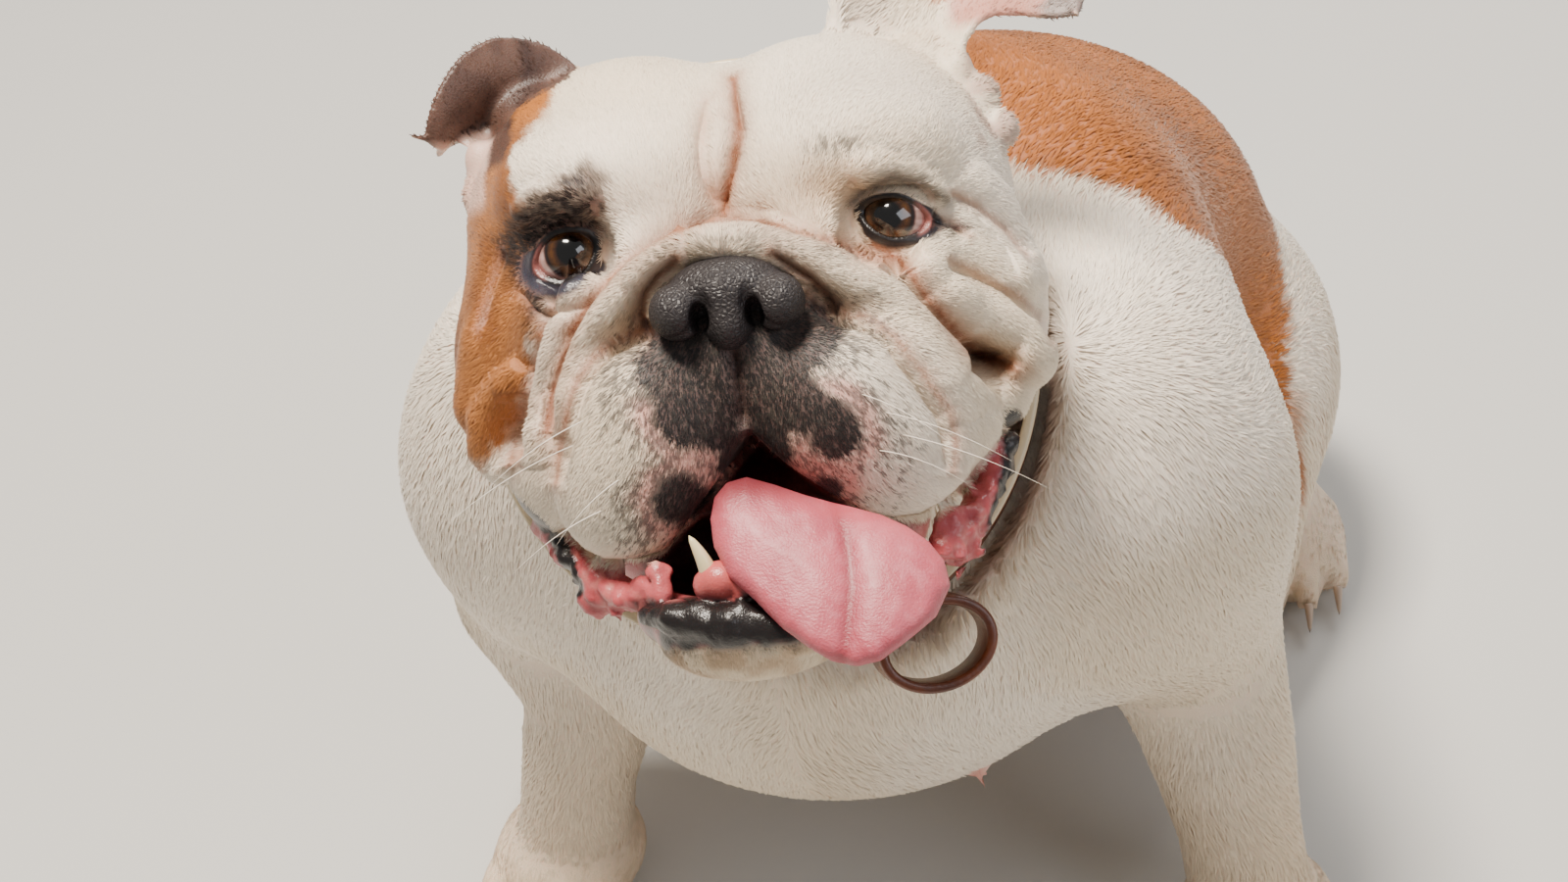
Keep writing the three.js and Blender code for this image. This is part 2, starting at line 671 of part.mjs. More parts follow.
const foreLegBack = 78;
const hindLegFront = 88;
const legInner = (s) => CHEST_SHIFT + 5 + s * 90;
const foreBox = (s, grow) => block(
  [s > 0 ? legInner(s) - grow : -FAR, -FAR, -FAR],
  [s > 0 ? FAR : legInner(s) + grow, foreLegBack + grow, 172 + grow],
);
const hindBox = (s, grow) => block(
  [s > 0 ? RUMP_SHIFT + 52 - grow : -FAR, hindLegFront - grow, -FAR],
  [s > 0 ? FAR : RUMP_SHIFT - 52 + grow, FAR, 176 + grow],
);

let trunk = wholeBody.intersect(aboveFloor);
const neck = largest(clearOfHead(trunk.intersect(neckSide(halfGap))));
trunk = trunk.subtract(neckSide(-halfGap));
[1, -1].forEach((s) => {
  trunk = trunk.subtract(foreBox(s, halfGap)).subtract(hindBox(s, halfGap));
});
trunk = largest(clearOfHead(trunk));

// Paws: a rounded foot with four toes and their claws, standing flat on the floor

function paw(at, length, width, heading, height) {
  const toWorld = new THREE.Matrix4().makeTranslation(at[0], at[1], 0);
  toWorld.multiply(new THREE.Matrix4().makeRotationZ(heading));
  let foot = egg([0, 4, height * 0.42], [width * 0.5, length * 0.5, height * 0.6]);
  [-1.5, -0.5, 0.5, 1.5].forEach((place) => {
    const middle = Math.abs(place) < 1;
    const x = place * width * 0.235;
    const y = -length * (middle ? 0.36 : 0.22);
    foot = foot.add(egg([x, y, 12.5], [width * 0.145, length * 0.25, 13], 8));
    const claw = new THREE.ConeGeometry(3.2, 14, 5).rotateX(Math.PI / 2 + 0.5);
    claw.translate(x, y - length * 0.25, 10);
    foot = foot.add(solid(claw));
  });
  return moved(solid(thinned(geometryOf(foot), 400)), toWorld).intersect(aboveFloor);
}

const legNodes = {};
[[1, 'left'], [-1, 'right']].forEach(([s, side]) => {
  const [px, py] = s > 0 ? PAW_LEFT : PAW_RIGHT;
  const forePaw = paw([px, py], 74, 70, s * 0.16, 40);
  const hindPaw = paw([hipX(s, 116), 222], 78, 60, s * 0.12, 36);
  const foreLeg = wholeBody.intersect(foreBox(s, -halfGap)).intersect(aboveFloor);
  const hindLeg = wholeBody.intersect(hindBox(s, -halfGap)).intersect(aboveFloor);
  const ankle = block([-FAR, -FAR, 34], [FAR, FAR, FAR]);
  legNodes[`fore_leg_${side}`] = largest(foreLeg.intersect(ankle).subtract(grown(forePaw)));
  legNodes[`hind_leg_${side}`] = largest(hindLeg.subtract(grown(hindPaw)));
  legNodes[`fore_paw_${side}`] = forePaw;
  legNodes[`hind_paw_${side}`] = hindPaw;
});

// Tail: a short, thick, tapering stub that lies behind the rump

const tailShape = chain([
  [RUMP_SHIFT, 320, 66, 19], [RUMP_SHIFT - 2, 350, 50, 14], [RUMP_SHIFT - 8, 362, 34, 11], [RUMP_SHIFT - 16, 362, 22, 8],
]);
const tailRaw = solid(thinned(
  skinOf(tailShape, [RUMP_SHIFT - 40, 270, 2], [RUMP_SHIFT + 34, 380, 96], HEAD_CELL),
  180,
));
const tail = largest(tailRaw.subtract(grown(trunk)));

// The end of the collar's strap, which stands off it in a loop

const loopTurn = new THREE.Matrix4().makeTranslation(44.2, -96.3, 263.2);
loopTurn.multiply(new THREE.Matrix4().makeRotationZ(0.5));
loopTurn.multiply(new THREE.Matrix4().makeRotationX(-0.67));
const loopRaw = moved(ringOf([20.5, 16], [17, 12.5], 17), loopTurn);
const loop = largest(
  [trunk, neck, collar].reduce((rest, piece) => rest.subtract(grown(piece)), loopRaw).subtract(jawClear),
);

// The dog, its head pieces nested in the turned head

const bulldog = new THREE.Group();
const headGroup = new THREE.Group();
headGroup.applyMatrix4(headTurn);
bulldog.add(headGroup);

function add(parent, name, manifold, color, roughness = 0.85) {
  const mesh = new THREE.Mesh(
    geometryOf(manifold),
    new THREE.MeshStandardMaterial({ color, roughness, metalness: 0 }),
  );
  mesh.name = name;
  parent.add(mesh);
}

add(bulldog, 'torso', trunk, COAT_RED);
add(bulldog, 'neck', neck, COAT_WHITE);
add(bulldog, 'tail', tail, COAT_RED);
Object.entries(legNodes).forEach(([name, piece]) => add(bulldog, name, piece, COAT_WHITE));
add(bulldog, 'collar', collar, LEATHER, 0.5);
add(bulldog, 'collar_loop', loop, LEATHER, 0.5);
add(headGroup, 'head', headSolid, COAT_WHITE);
add(headGroup, 'lower_jaw', jawWithGum, LIP_DARK, 0.5);
add(headGroup, 'tongue', tongueSolid, TONGUE_PINK, 0.4);
add(headGroup, 'canine_tooth', toothSolid, IVORY, 0.3);
add(headGroup, 'nose', noseSolid, NOSE_BLACK, 0.5);
add(headGroup, 'ear_left', earLeft, COAT_WHITE);
add(headGroup, 'ear_right', earRight, EAR_TAUPE);
add(headGroup, 'eye_left', eyeBalls[0], EYE_BROWN, 0.1);
add(headGroup, 'eye_right', eyeBalls[1], EYE_BROWN, 0.1);

const box = new THREE.Box3().setFromObject(bulldog, true);
const middle = box.getCenter(new THREE.Vector3());
bulldog.position.set(-middle.x, -middle.y, -box.min.z);

export default bulldog;
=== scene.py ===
# %% [markdown]
# # An English bulldog, life size
# The dog sits, looks up at the viewer and lets its tongue hang out. This lesson dresses
# a finished frame of plain solids: first the camera, then one skin over all the flesh
# and its coat, tuft by tuft, then the eyes, nose, tongue, tooth, claws, collar and
# whiskers, and last the room and its light.

# %% The frame, and where things are
import math

import bmesh
import bpy
import numpy as np
import openvdb
from mathutils import Matrix, Vector


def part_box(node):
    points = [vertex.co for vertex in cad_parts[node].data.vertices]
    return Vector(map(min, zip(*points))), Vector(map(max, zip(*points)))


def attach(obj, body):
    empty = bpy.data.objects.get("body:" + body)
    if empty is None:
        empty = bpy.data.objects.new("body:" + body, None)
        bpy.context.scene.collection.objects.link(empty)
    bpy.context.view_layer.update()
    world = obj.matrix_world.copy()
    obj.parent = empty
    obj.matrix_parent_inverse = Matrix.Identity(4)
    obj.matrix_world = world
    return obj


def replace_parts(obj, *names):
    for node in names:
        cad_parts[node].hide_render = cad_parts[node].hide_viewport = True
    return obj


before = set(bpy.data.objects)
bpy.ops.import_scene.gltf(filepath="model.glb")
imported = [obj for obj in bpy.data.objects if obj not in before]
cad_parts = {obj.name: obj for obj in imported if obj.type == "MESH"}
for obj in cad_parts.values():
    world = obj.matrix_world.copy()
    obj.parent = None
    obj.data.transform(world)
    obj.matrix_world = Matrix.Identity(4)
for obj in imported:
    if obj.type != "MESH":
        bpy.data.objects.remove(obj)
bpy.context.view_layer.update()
MM = 0.001

# %% [markdown]
# ## The head's own frame
# Nearly everything on the face is easier to place in the head's own frame: its origin is
# midway between the eyes, x runs to the dog's left, -y out of the face and z up the
# forehead. The left eyeball's box tells where that frame sits in the model, so the
# script follows the solids if they move.

# %% Head and body frames, in millimetres
HEAD_AT = np.array([-16.7, -55.8, 399.0])
HEAD_YAW, HEAD_PITCH, HEAD_ROLL = math.radians(12.2), math.radians(39.8), math.radians(-0.8)
EYE = np.array([51.0, 6.2, 0.0])
EYE_RADIUS = 11.6
HEAD_TURN = np.array(
    Matrix.Rotation(HEAD_YAW, 3, "Z")
    @ Matrix.Rotation(-HEAD_PITCH, 3, "X")
    @ Matrix.Rotation(HEAD_ROLL, 3, "Y")
)
eye_low, eye_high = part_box("eye_left")
SHIFT = np.array((eye_low + eye_high) / 2) / MM - (HEAD_AT + HEAD_TURN @ EYE)
SHIFT[2] = 0.0


def to_head(p):
    return (p - HEAD_AT) @ HEAD_TURN


def from_head(q):
    return q @ HEAD_TURN.T + HEAD_AT


def to_model(p):
    return (p + SHIFT) * MM


print("body frame to model frame, mm:", SHIFT.round(2))

# %% [markdown]
# ## Camera
# The picture was taken from above and in front of the dog, a little to its left, with a
# longish lens and a slight tilt. The numbers come from fitting the face's landmarks.

# %% Camera
LENS_MM = 56.25
CAMERA_AT = np.array([171.492, -642.816, 856.251])
AZIMUTH, ELEVATION, TILT = math.radians(17.1), math.radians(41.5), math.radians(-8.6)
back = Vector((
    math.sin(AZIMUTH) * math.cos(ELEVATION),
    -math.cos(AZIMUTH) * math.cos(ELEVATION),
    math.sin(ELEVATION),
))
level = (-back).cross(Vector((0, 0, 1))).normalized()
upright = level.cross(-back)
right = math.cos(TILT) * level + math.sin(TILT) * upright
up = -math.sin(TILT) * level + math.cos(TILT) * upright
camera_data = bpy.data.cameras.new("camera")
camera_data.lens = LENS_MM
camera_data.clip_start, camera_data.clip_end = 0.02, 50
camera = bpy.data.objects.new("camera", camera_data)
bpy.context.scene.collection.objects.link(camera)
camera.matrix_world = Matrix.Translation(to_model(CAMERA_AT)) @ Matrix(
    [[right[i], up[i], back[i]] for i in range(3)]
).to_4x4()
bpy.context.scene.camera = camera
print("camera stands at", [round(v, 3) for v in camera.location])

# %% [markdown]
# ## Flesh as a distance field
# Flesh has no edges, so it is described by masses that melt into each other. Each shape
# is a function that says how far a point is from its surface, negative inside. A smooth
# minimum joins two shapes with a soft valley, and a smooth maximum carves one out.

# %% Distance functions


def ball(p, centre, radii, turn=None):
    """An ellipsoid, turned by a matrix if one is given."""
    q = p - np.float32(centre)
    if turn is not None:
        q = q @ turn
    q = q / np.float32(radii)
    inside = np.linalg.norm(q, axis=1)
    slope = np.linalg.norm(q / np.float32(radii), axis=1)
    return inside * (inside - 1) / np.maximum(slope, 1e-6)


def chain(p, *points):
    """Round bars end to end through points (x, y, z, radius)."""
    near = None
    for start, end in zip(points, points[1:]):
        a, b = np.float32(start), np.float32(end)
        way = b[:3] - a[:3]
        q = p - a[:3]
        t = np.clip(q @ way / (way @ way), 0, 1)
        away = np.linalg.norm(q - t[:, None] * way, axis=1) - (a[3] + (b[3] - a[3]) * t)
        near = away if near is None else np.minimum(near, away)
    return near


def soft_min(a, b, k):
    h = np.maximum(k - np.abs(a - b), 0) / k
    return np.minimum(a, b) - h * h * k / 4


def join(k, *parts):
    near = parts[0]
    for part in parts[1:]:
        near = soft_min(near, part, k)
    return near


def carve(k, base, *cuts):
    for cut in cuts:
        base = -soft_min(-base, cut, k)
    return base


def turned(z=0.0, x=0.0):
    return np.array(Matrix.Rotation(z, 3, "Z") @ Matrix.Rotation(x, 3, "X"), np.float32)


def ramp(v, low, high):
    t = np.clip((v - low) / (high - low), 0, 1)
    return t * t * (3 - 2 * t)


def noise(p, size, seed):
    """Smooth random values between 0 and 1, from lumps of the given size."""
    q = p / size + seed * 17.31
    cell = np.floor(q).astype(np.int64)
    t = q - cell
    t = t * t * (3 - 2 * t)
    total = np.zeros(len(p))
    for corner in range(8):
        step = np.array([(corner >> i) & 1 for i in range(3)])
        c = cell + step
        mixed = (c[:, 0] * 73856093) ^ (c[:, 1] * 19349663) ^ (c[:, 2] * 83492791)
        mixed = (mixed ^ (mixed >> 13)) * 1274126177
        total += ((mixed >> 9) & 0xFFFF) / 65535 * np.prod(np.where(step, t, 1 - t), 1)
    return total


def line_distance(q, lines):
    best = np.full(len(q), 1e3)
    for points in lines:
        for (ax, az), (bx, bz) in zip(points, points[1:]):
            way = np.array([bx - ax, bz - az])
            t = np.clip(((q[:, 0] - ax) * way[0] + (q[:, 2] - az) * way[1]) / (way @ way), 0, 1)
            best = np.minimum(best, np.hypot(q[:, 0] - ax - t * way[0], q[:, 2] - az - t * way[1]))
    return best


def patch_distance(q, outline):
    """How far a point seen from the front is from an outline, negative inside it."""
    near = line_distance(q, [outline + outline[:1]])
    inside = np.zeros(len(q), bool)
    for (ax, az), (bx, bz) in zip(outline, outline[1:] + outline[:1]):
        spans = (az > q[:, 2]) != (bz > q[:, 2])
        inside ^= spans & (q[:, 0] < ax + (q[:, 2] - az) * (bx - ax) / ((bz - az) or 1e-6))
    return np.where(inside, -near, near)


SIDES = (1, -1)  # the dog's left and right
print("distance functions are ready; the dog's left is side", SIDES[0])

# %% [markdown]
# ## Trunk and legs
# The body uses the same masses as the frame's solids: rib cage, deep brisket, low rump,
# and the heavy shoulders that make a bulldog's front so wide. The skin lies a coat's
# depth inside them.

# %% The body's masses
CHEST_SHIFT, RUMP_SHIFT, WITHERS = -13, 24, 343
PAWS = {1: (150, -12), -1: (-150, -10)}
NECK_OVAL = (92, 99)
NECK_AT, NECK_LEAN = np.array([0, 77, -38]), 0.17
COLLAR_WIDTH, GROOVE_DEPTH = 22, 7
NECK_TURN = HEAD_TURN @ np.array(Matrix.Rotation(-NECK_LEAN, 3, "X"))
NECK_MIDDLE = from_head(NECK_AT)


def to_neck(p):
    return (p - NECK_MIDDLE) @ NECK_TURN


def collar_groove(p):
    q = to_neck(p)
    outside = (np.hypot(q[:, 0] / NECK_OVAL[0], q[:, 2] / NECK_OVAL[1]) - 1) * NECK_OVAL[0]
    along = np.abs(q[:, 1]) - COLLAR_WIDTH / 2 - 0.6
    return np.maximum(np.maximum(along, -outside - 1.5), outside - GROOVE_DEPTH)


def hip_x(s, half):
    return RUMP_SHIFT + s * half  # the rump is swung a little to the dog's left


def where(close, p, shape, far=40.0):
    """The shape's distance at the points that are close, and far everywhere else."""
    result = np.full(len(p), far, np.float32)
    if close.any():
        result[close] = shape(p[close])
    return result


def legs(p):
    parts = []
    for s in SIDES:
        px, py = PAWS[s]
        elbow = (CHEST_SHIFT - 4 + s * 133, 34, 142, 40)
        wrist = (px - s * 10, py + 12, 62, 26.5)
        fore_arm = (px - s * 20, py + 26, 104, 32)
        parts.append(chain(
            p, (CHEST_SHIFT + s * 118, 18, 225, 48), elbow, fore_arm, wrist,
            (px - s * 4, py + 6, 26, 27),
        ))
        parts.append(ball(p, (hip_x(s, 92), 214, 116), (57, 88, 70)))  # thigh
        parts.append(ball(p, (hip_x(s, 90), 140, 78), (40, 46, 54)))  # knee
        parts.append(chain(
            p, (hip_x(s, 92), 162, 52, 29), (hip_x(s, 114), 262, 24, 23),
            (hip_x(s, 120), 214, 18, 21),
        ))
    return parts


TOE_PLACES, TOE_SPACING = (-1.5, -0.5, 0.5, 1.5), 0.235


def toe_ahead(place):
    return 0.36 if abs(place) < 1 else 0.22


def paw(p, at, length, width, heading, height):
    """A flat-soled foot with four toes, the middle two ahead of the outer two."""
    turn = turned(heading)
    q = (p - np.float32([*at, 0])) @ turn
    foot = ball(q, (0, 4, height * 0.42), (width * 0.5, length * 0.5, height * 0.58))
    toes = []
    for place in TOE_PLACES:
        x, y = place * width * TOE_SPACING, -length * toe_ahead(place)
        toes.append(ball(q, (x, y, 12.5), (width * 0.142, length * 0.25, 12.5)))
        toes.append(ball(q, (x * 0.92, y + length * 0.12, 19), (width * 0.13, length * 0.2, 11)))
    return np.maximum(join(4, foot, join(1.6, *toes)), -q[:, 2])


PAW_SIZES = {"fore": (74, 70, 40), "hind": (78, 60, 36)}
PAW_PLACES = [("fore", s, PAWS[s], s * 0.16) for s in SIDES]
PAW_PLACES += [("hind", s, (hip_x(s, 126), 214), s * 0.12) for s in SIDES]
print("paws at", [place[2] for place in PAW_PLACES])
NIPPLE = (46, -54, 140)


def body(p):
    """The trunk, legs, feet and tail, with a groove where the collar lies."""
    neck = ball(p, NECK_MIDDLE, (NECK_OVAL[0] - 2, 70, NECK_OVAL[1] - 2),
                turned(HEAD_YAW, -HEAD_PITCH - NECK_LEAN))
    parts = [
        ball(p, (CHEST_SHIFT + 4, 15, 222), (126, 110, 104)),  # rib cage
        ball(p, (CHEST_SHIFT - 12, -2, 176), (94, 70, 73)),  # brisket
        ball(p, (6, 82, WITHERS - 76), (122, 86, 76)),  # withers
        ball(p, (RUMP_SHIFT * 0.4, 136, 234), (112, 102, 98)),  # loin
        ball(p, (RUMP_SHIFT + 2, 210, 190), (114, 92, 98)),  # croup
        ball(p, (RUMP_SHIFT, 250, 106), (110, 84, 112)),  # seat
        neck,
        *[ball(p, (CHEST_SHIFT + s * 106, 22, 236), (59, 74, 84)) for s in SIDES],  # shoulders
        *legs(p),
    ]
    trunk = carve(8, join(34, *parts), collar_groove(p))
    tail = chain(p, (RUMP_SHIFT, 320, 66, 19), (RUMP_SHIFT - 2, 350, 50, 14),
                 (RUMP_SHIFT - 8, 362, 34, 11), (RUMP_SHIFT - 16, 362, 22, 8))
    trunk = soft_min(trunk, tail, 9)
    trunk = soft_min(trunk, ball(p, NIPPLE, (5, 5, 7)), 5)
    for kind, side, at, heading in PAW_PLACES:
        length, width, height = PAW_SIZES[kind]
        close = (p[:, 2] < 62) & (np.hypot(p[:, 0] - at[0], p[:, 1] - at[1]) < 70)
        foot = where(close, p, lambda near: paw(near, at, length, width, heading, height))
        trunk = soft_min(trunk, foot, 5)
    return trunk

# %% [markdown]
# ## Head
# A bulldog's face is a broad skull with cheeks like cushions, two hanging upper lips and
# thick rolls of skin over the nose. The big masses come first. The rolls and creases are
# lines seen from the front: each one raises or sinks the skin near it, a roll with a
# round section and a crease with a sharp one.

# %% The head's masses


def skull_mass(q):
    skull = [ball(q, (s * 32, 55, 8), (60, 62, 58)) for s in SIDES]
    cheeks = [ball(q, (s * 57, 44, -32), (42, 46, 46)) for s in SIDES]
    brows = [ball(q, (s * 40, 10, 22), (31, 23, 20)) for s in SIDES]
    under_eyes = [ball(q, (s * 36, 2, -26), (34, 28, 30)) for s in SIDES]
    mass = join(12, *skull, *cheeks, *brows, *under_eyes, ball(q, (0, -4, -40), (42, 36, 38)))
    jowls = [ball(q, (s * 54, 2, -64), (25, 27, 27)) for s in SIDES]
    side_rolls = [
        chain(q, (s * 68, 14, -10, 9), (s * 80, 16, -26, 11), (s * 85, 20, -44, 12),
              (s * 78, 22, -60, 11))
        for s in SIDES
    ]
    rope = [
        chain(q, (0, -26, -3, 8.5), (s * 18, -25, -7, 8.5), (s * 36, -22, -21, 8.5),
              (s * 50, -16, -36, 9), (s * 59, -9, -51, 9), (s * 64, -2, -64, 9))
        for s in SIDES
    ]
    return join(7, mass, *jowls, *side_rolls, *rope)


def flews(q):
    """The two hanging upper lips, the right one lower at its front."""
    right = join(8, ball(q, (-30, -20, -57), (29, 28, 32)), ball(q, (-36, -21, -72), (25, 24, 27)))
    left = join(8, ball(q, (32, -20, -55), (31, 29, 31)), ball(q, (43, -17, -68), (28, 26, 27)))
    return join(3, right, left)


middle_of_face = np.array([[0.0, -60.0, -45.0]], np.float32)
print("in front of the muzzle's middle, mm:", float(flews(middle_of_face)[0].round(1)))

# %% [markdown]
# ## Rolls and creases
# These lines were read off the picture, in millimetres of x and z in the head's frame.
# Modelling each as its own solid would leave seams, so they only lift or sink the skin. A
# roll has a round section; a crease is sharp at its bottom, with soft banks.

# %% Rolls and creases, seen from the front: x and z in the head's frame
ROLLS = {
    # name: (points, half width, height)
    "outer_roll_right": ([(-42, -6), (-49, -15), (-55, -24), (-59, -34), (-62, -43), (-65, -53),
                          (-66, -64)], 5.5, 2.8),
    "inner_roll_right": ([(1, -2), (-8, -2.5), (-16, -4), (-24, -7), (-31, -12), (-37, -19),
                          (-42, -25), (-47, -31), (-51, -38), (-54, -46), (-56, -56)], 5.5, 3.0),
    "roll_left": ([(-8, -1), (1, -2), (11, -3), (19, -7), (29, -13), (38, -20), (47, -27), (55, -35),
                   (62, -44), (67, -53), (71, -63)], 8.0, 3.2),
    "cheek_fold_left": ([(64, -24), (72, -32), (81, -37), (89, -43), (91, -51), (88, -56)], 8, 2.4),
    "cheek_fold_right": ([(-67, -35), (-77, -41), (-83, -48), (-84, -57), (-77, -67)], 6.5, 4.2),
    "upper_lid_right": ([(-65, 12), (-57, 17), (-47, 18), (-38, 13)], 4.5, 2.4),
    "upper_lid_left": ([(38, 14), (47, 15), (58, 12), (68, 3)], 4, 2.2),
    "pouch_right": ([(-64, -9), (-57, -14), (-47, -14), (-40, -9)], 3.5, 1.2),
    "pouch_left": ([(42, -11), (52, -12), (63, -8)], 3.5, 1.2),
    "brow_ridge": ([(1, 40), (0, 26), (0, 12)], 3.5, 1.0),
    "temple_roll_left": ([(74, 12), (84, 2), (92, -12), (96, -28)], 7, 1.8),
}
CREASES = {
    # name: (points, depth)
    "outer_right": ([(-47, -4), (-53, -13), (-58, -21), (-62, -30), (-65, -39), (-69, -50),
                     (-71, -62)], 3.2),
    "middle_right": ([(-12, 2), (-21, -1), (-29, -5), (-36, -11), (-43, -17), (-49, -25), (-53, -33),
                      (-57, -42), (-60, -54)], 3.0),
    "flew_right": ([(-22, -27), (-28, -26.5), (-37, -29), (-43, -34), (-48, -40), (-51, -47),
                    (-54, -55), (-57, -62), (-58, -70)], 4.0),
    "nose_top": ([(-12, 2), (-6, 3), (1, 3.5), (10, 2.5), (18, -0.5), (27, -4), (36, -8),
                  (46, -14)], 3.4),
    "outer_left": ([(44, -8), (51, -13), (55, -19), (58, -25), (62, -31), (66, -37), (70, -42),
                    (76, -47), (83, -50)], 4.0),
    "flew_left": ([(22, -21), (26, -25), (31, -27), (37, -29), (43, -32), (48, -37), (51, -42),
                   (55, -48), (58, -54), (62, -61), (63, -70), (61, -79)], 4.2),
    "philtrum": ([(0.5, -34), (0.5, -46), (1, -60)], 2.2),
    "nose_left": ([(14, -8), (20, -13), (25, -17), (28, -21), (32, -26)], 2.4),
    "nose_right": ([(-13, -7), (-20, -11), (-25, -16), (-27, -22), (-25, -28)], 2.4),
    "forehead_right": ([(-4, 44), (-6, 31), (-6, 19), (-3, 9)], 1.1),
    "forehead_left": ([(5, 50), (6, 33), (3, 21), (-1, 7)], 2.5),
    "hollow_right": ([(-69, -42), (-73, -49), (-76, -57), (-74, -63)], 6.0),
    "hollow_left": ([(70, -43), (77, -48), (84, -51)], 7.5),
    "cheek_left": ([(67, -15), (78, -22), (87, -28), (94, -35), (97, -44)], 2.6),
    "temple_left": ([(70, 6), (78, 1), (86, -7), (92, -16)], 1.6),
    "temple_right": ([(-73, 4), (-79, -7), (-83, -20)], 1.6),
    "corner_left": ([(63, -1), (69, -3), (74, -8)], 1.6),
    "under_lid_right": ([(-68, -10), (-60, -18), (-49, -19), (-40, -14)], 1.2),
    "under_lid_left": ([(38, -13), (49, -17), (60, -14)], 1.2),
}
ROLL_GAIN, CREASE_GAIN = 1.65, 1.7
CREASE_SPREAD = 12  # how far a crease's banks reach
END_SHARE = 0.14  # of a line's length, over which it fades in and out
FACE_STARTS, FACE_IS_FULL = -46, -32  # relief fades in towards the front, by -y


def line_reach(q, points):
    """Distance from a line seen from the front, and how far along it the nearest point is."""
    spans = np.hypot(*np.diff(points, axis=0).T)
    best, share, before = np.full(len(q), 1e3), np.zeros(len(q)), 0.0
    for (ax, az), (bx, bz), span in zip(points, points[1:], spans):
        wx, wz = (bx - ax) / span, (bz - az) / span
        t = np.clip((q[:, 0] - ax) * wx + (q[:, 2] - az) * wz, 0, span)
        away = np.hypot(q[:, 0] - ax - t * wx, q[:, 2] - az - t * wz)
        nearer = away < best
        best = np.where(nearer, away, best)
        share = np.where(nearer, (before + t) / spans.sum(), share)
        before += span
    return best, share


def beside(q, points, spread):
    """Which points lie by a line, how far from it, and a weight that fades at its ends."""
    low, high = np.min(points, 0) - spread, np.max(points, 0) + spread
    close = ((q[:, [0, 2]] > low) & (q[:, [0, 2]] < high)).all(1)
    away, share = line_reach(q[close], points)
    return close, away, np.sqrt(np.clip(np.minimum(share, 1 - share) / END_SHARE, 0, 1))


def relief(q):
    """Height of the rolls less the depth of the creases, in millimetres."""
    height = np.zeros(len(q))
    for points, half, tall in ROLLS.values():
        close, away, ends = beside(q, points, half)
        height[close] += ROLL_GAIN * tall * ends * np.sqrt(np.maximum(1 - (away / half) ** 2, 0))
    for points, deep in CREASES.values():
        close, away, ends = beside(q, points, CREASE_SPREAD)
        wide = 0.9 + 0.25 * deep
        section = np.exp(-away / wide) + 0.3 * np.exp(-((away / (2.6 * wide)) ** 2))
        height[close] -= CREASE_GAIN * deep * ends * section
    above_mouth = q[:, 2] > -82 - 0.2 * np.abs(q[:, 0])
    return height * ramp(-q[:, 1], FACE_STARTS, FACE_IS_FULL) * above_mouth


def face_depth(points):
    """The y of the face's surface straight behind each (x, z), found by stepping inwards."""
    q = np.array([[x, -75.0, z] for x, z in points])
    for _ in range(40):
        q[:, 1] += np.maximum(np.minimum(skull_mass(q), flews(q)), 0.02) * 0.8
    return q[:, 1]


print(len(ROLLS), "rolls and", len(CREASES), "creases")

# %% [markdown]
# ## Eyelids
# The lids are a ball of skin over the eyeball, joined to the brow and cheek around it. A
# bulldog's lower lids hang a little and the openings lean outwards, so each eye has its
# own measures. Cutting a hole would leave a torn edge, so inside the opening the skin is
# pressed just under the eyeball's surface, and the ball always fills it.

# %% Eyelids
LIDS = {
    # side: middle of the opening from the eye's middle, half width, height up, height down, lean
    1: ((1.1, 0.1), 10.8, 5.8, 7.3, -0.27),
    -1: ((-0.8, -0.2), 10.4, 6.9, 8.8, 0.34),
}
LID_POWER = 1.7  # 2 would make the openings oval; less gives them corners
LID_SKIN, LID_SINK, LID_RIM = 1.8, 2.7, 0.5
LID_REACH = 6  # how far past the eyeball's surface the lids are shaped


def lid_opening(q, s):
    """How far a point seen from the front is from an eye's opening, negative inside it."""
    (ox, oz), half, high, low, lean = LIDS[s]
    x, z = q[:, 0] - s * EYE[0] - ox, q[:, 2] - EYE[2] - oz
    c, n = math.cos(lean), math.sin(lean)
    x, z = c * x + n * z, -n * x + c * z
    tall = np.where(z > 0, high, low)
    reach = np.abs(x / half) ** LID_POWER + np.abs(z / tall) ** LID_POWER
    return (reach ** (1 / LID_POWER) - 1) * min(half, high)


def with_lids(q, mass):
    """The masses with a hollow socket and a ball of lid skin over each eye."""
    for s in SIDES:
        mass = carve(6, mass, ball(q, (s * EYE[0], -9, -0.5), (15.5, 15, 12.5)))
        mass = soft_min(mass, ball(q, (s * EYE[0], EYE[1], EYE[2]), (EYE_RADIUS + LID_SKIN,) * 3), 6)
    return mass


def lid_sink(q):
    """Inside each opening the skin drops under the eyeball's surface, and its rim stands up."""
    sink = np.zeros(len(q))
    for s in SIDES:
        from_eye = np.linalg.norm(q - [s * EYE[0], EYE[1], EYE[2]], axis=1)
        close = (from_eye < EYE_RADIUS + LID_REACH) & (q[:, 1] < 8)
        opening = lid_opening(q[close], s)
        sink[close] -= LID_SINK * ramp(-opening, -0.15, 0.55)
        sink[close] += LID_RIM * np.exp(-((opening - 1.1) ** 2))
    return sink


print("lid openings, mm wide:", {side: 2 * lid[1] for side, lid in LIDS.items()})

# %% [markdown]
# ## Mouth
# The mouth is open. The upper lips hang like curtains in front of it. The lower jaw juts
# forward, as the breed's does, with a dark wet lip in front, loose pink folds of lip at
# both sides and a gum round the one tooth that shows.

# %% Lower jaw
LIP_KNOBS = [(82, 6, -68), (81, 4, -73), (78, 2, -78), (73, -1, -83), (71, -4, -88), (69, -7, -93),
             (70, -10, -98), (70, -12, -103), (68, -14, -108), (-75, 6, -73), (-72, 3, -79),
             (-68, 0, -84), (-64, -3, -89), (-62, -6, -94)]


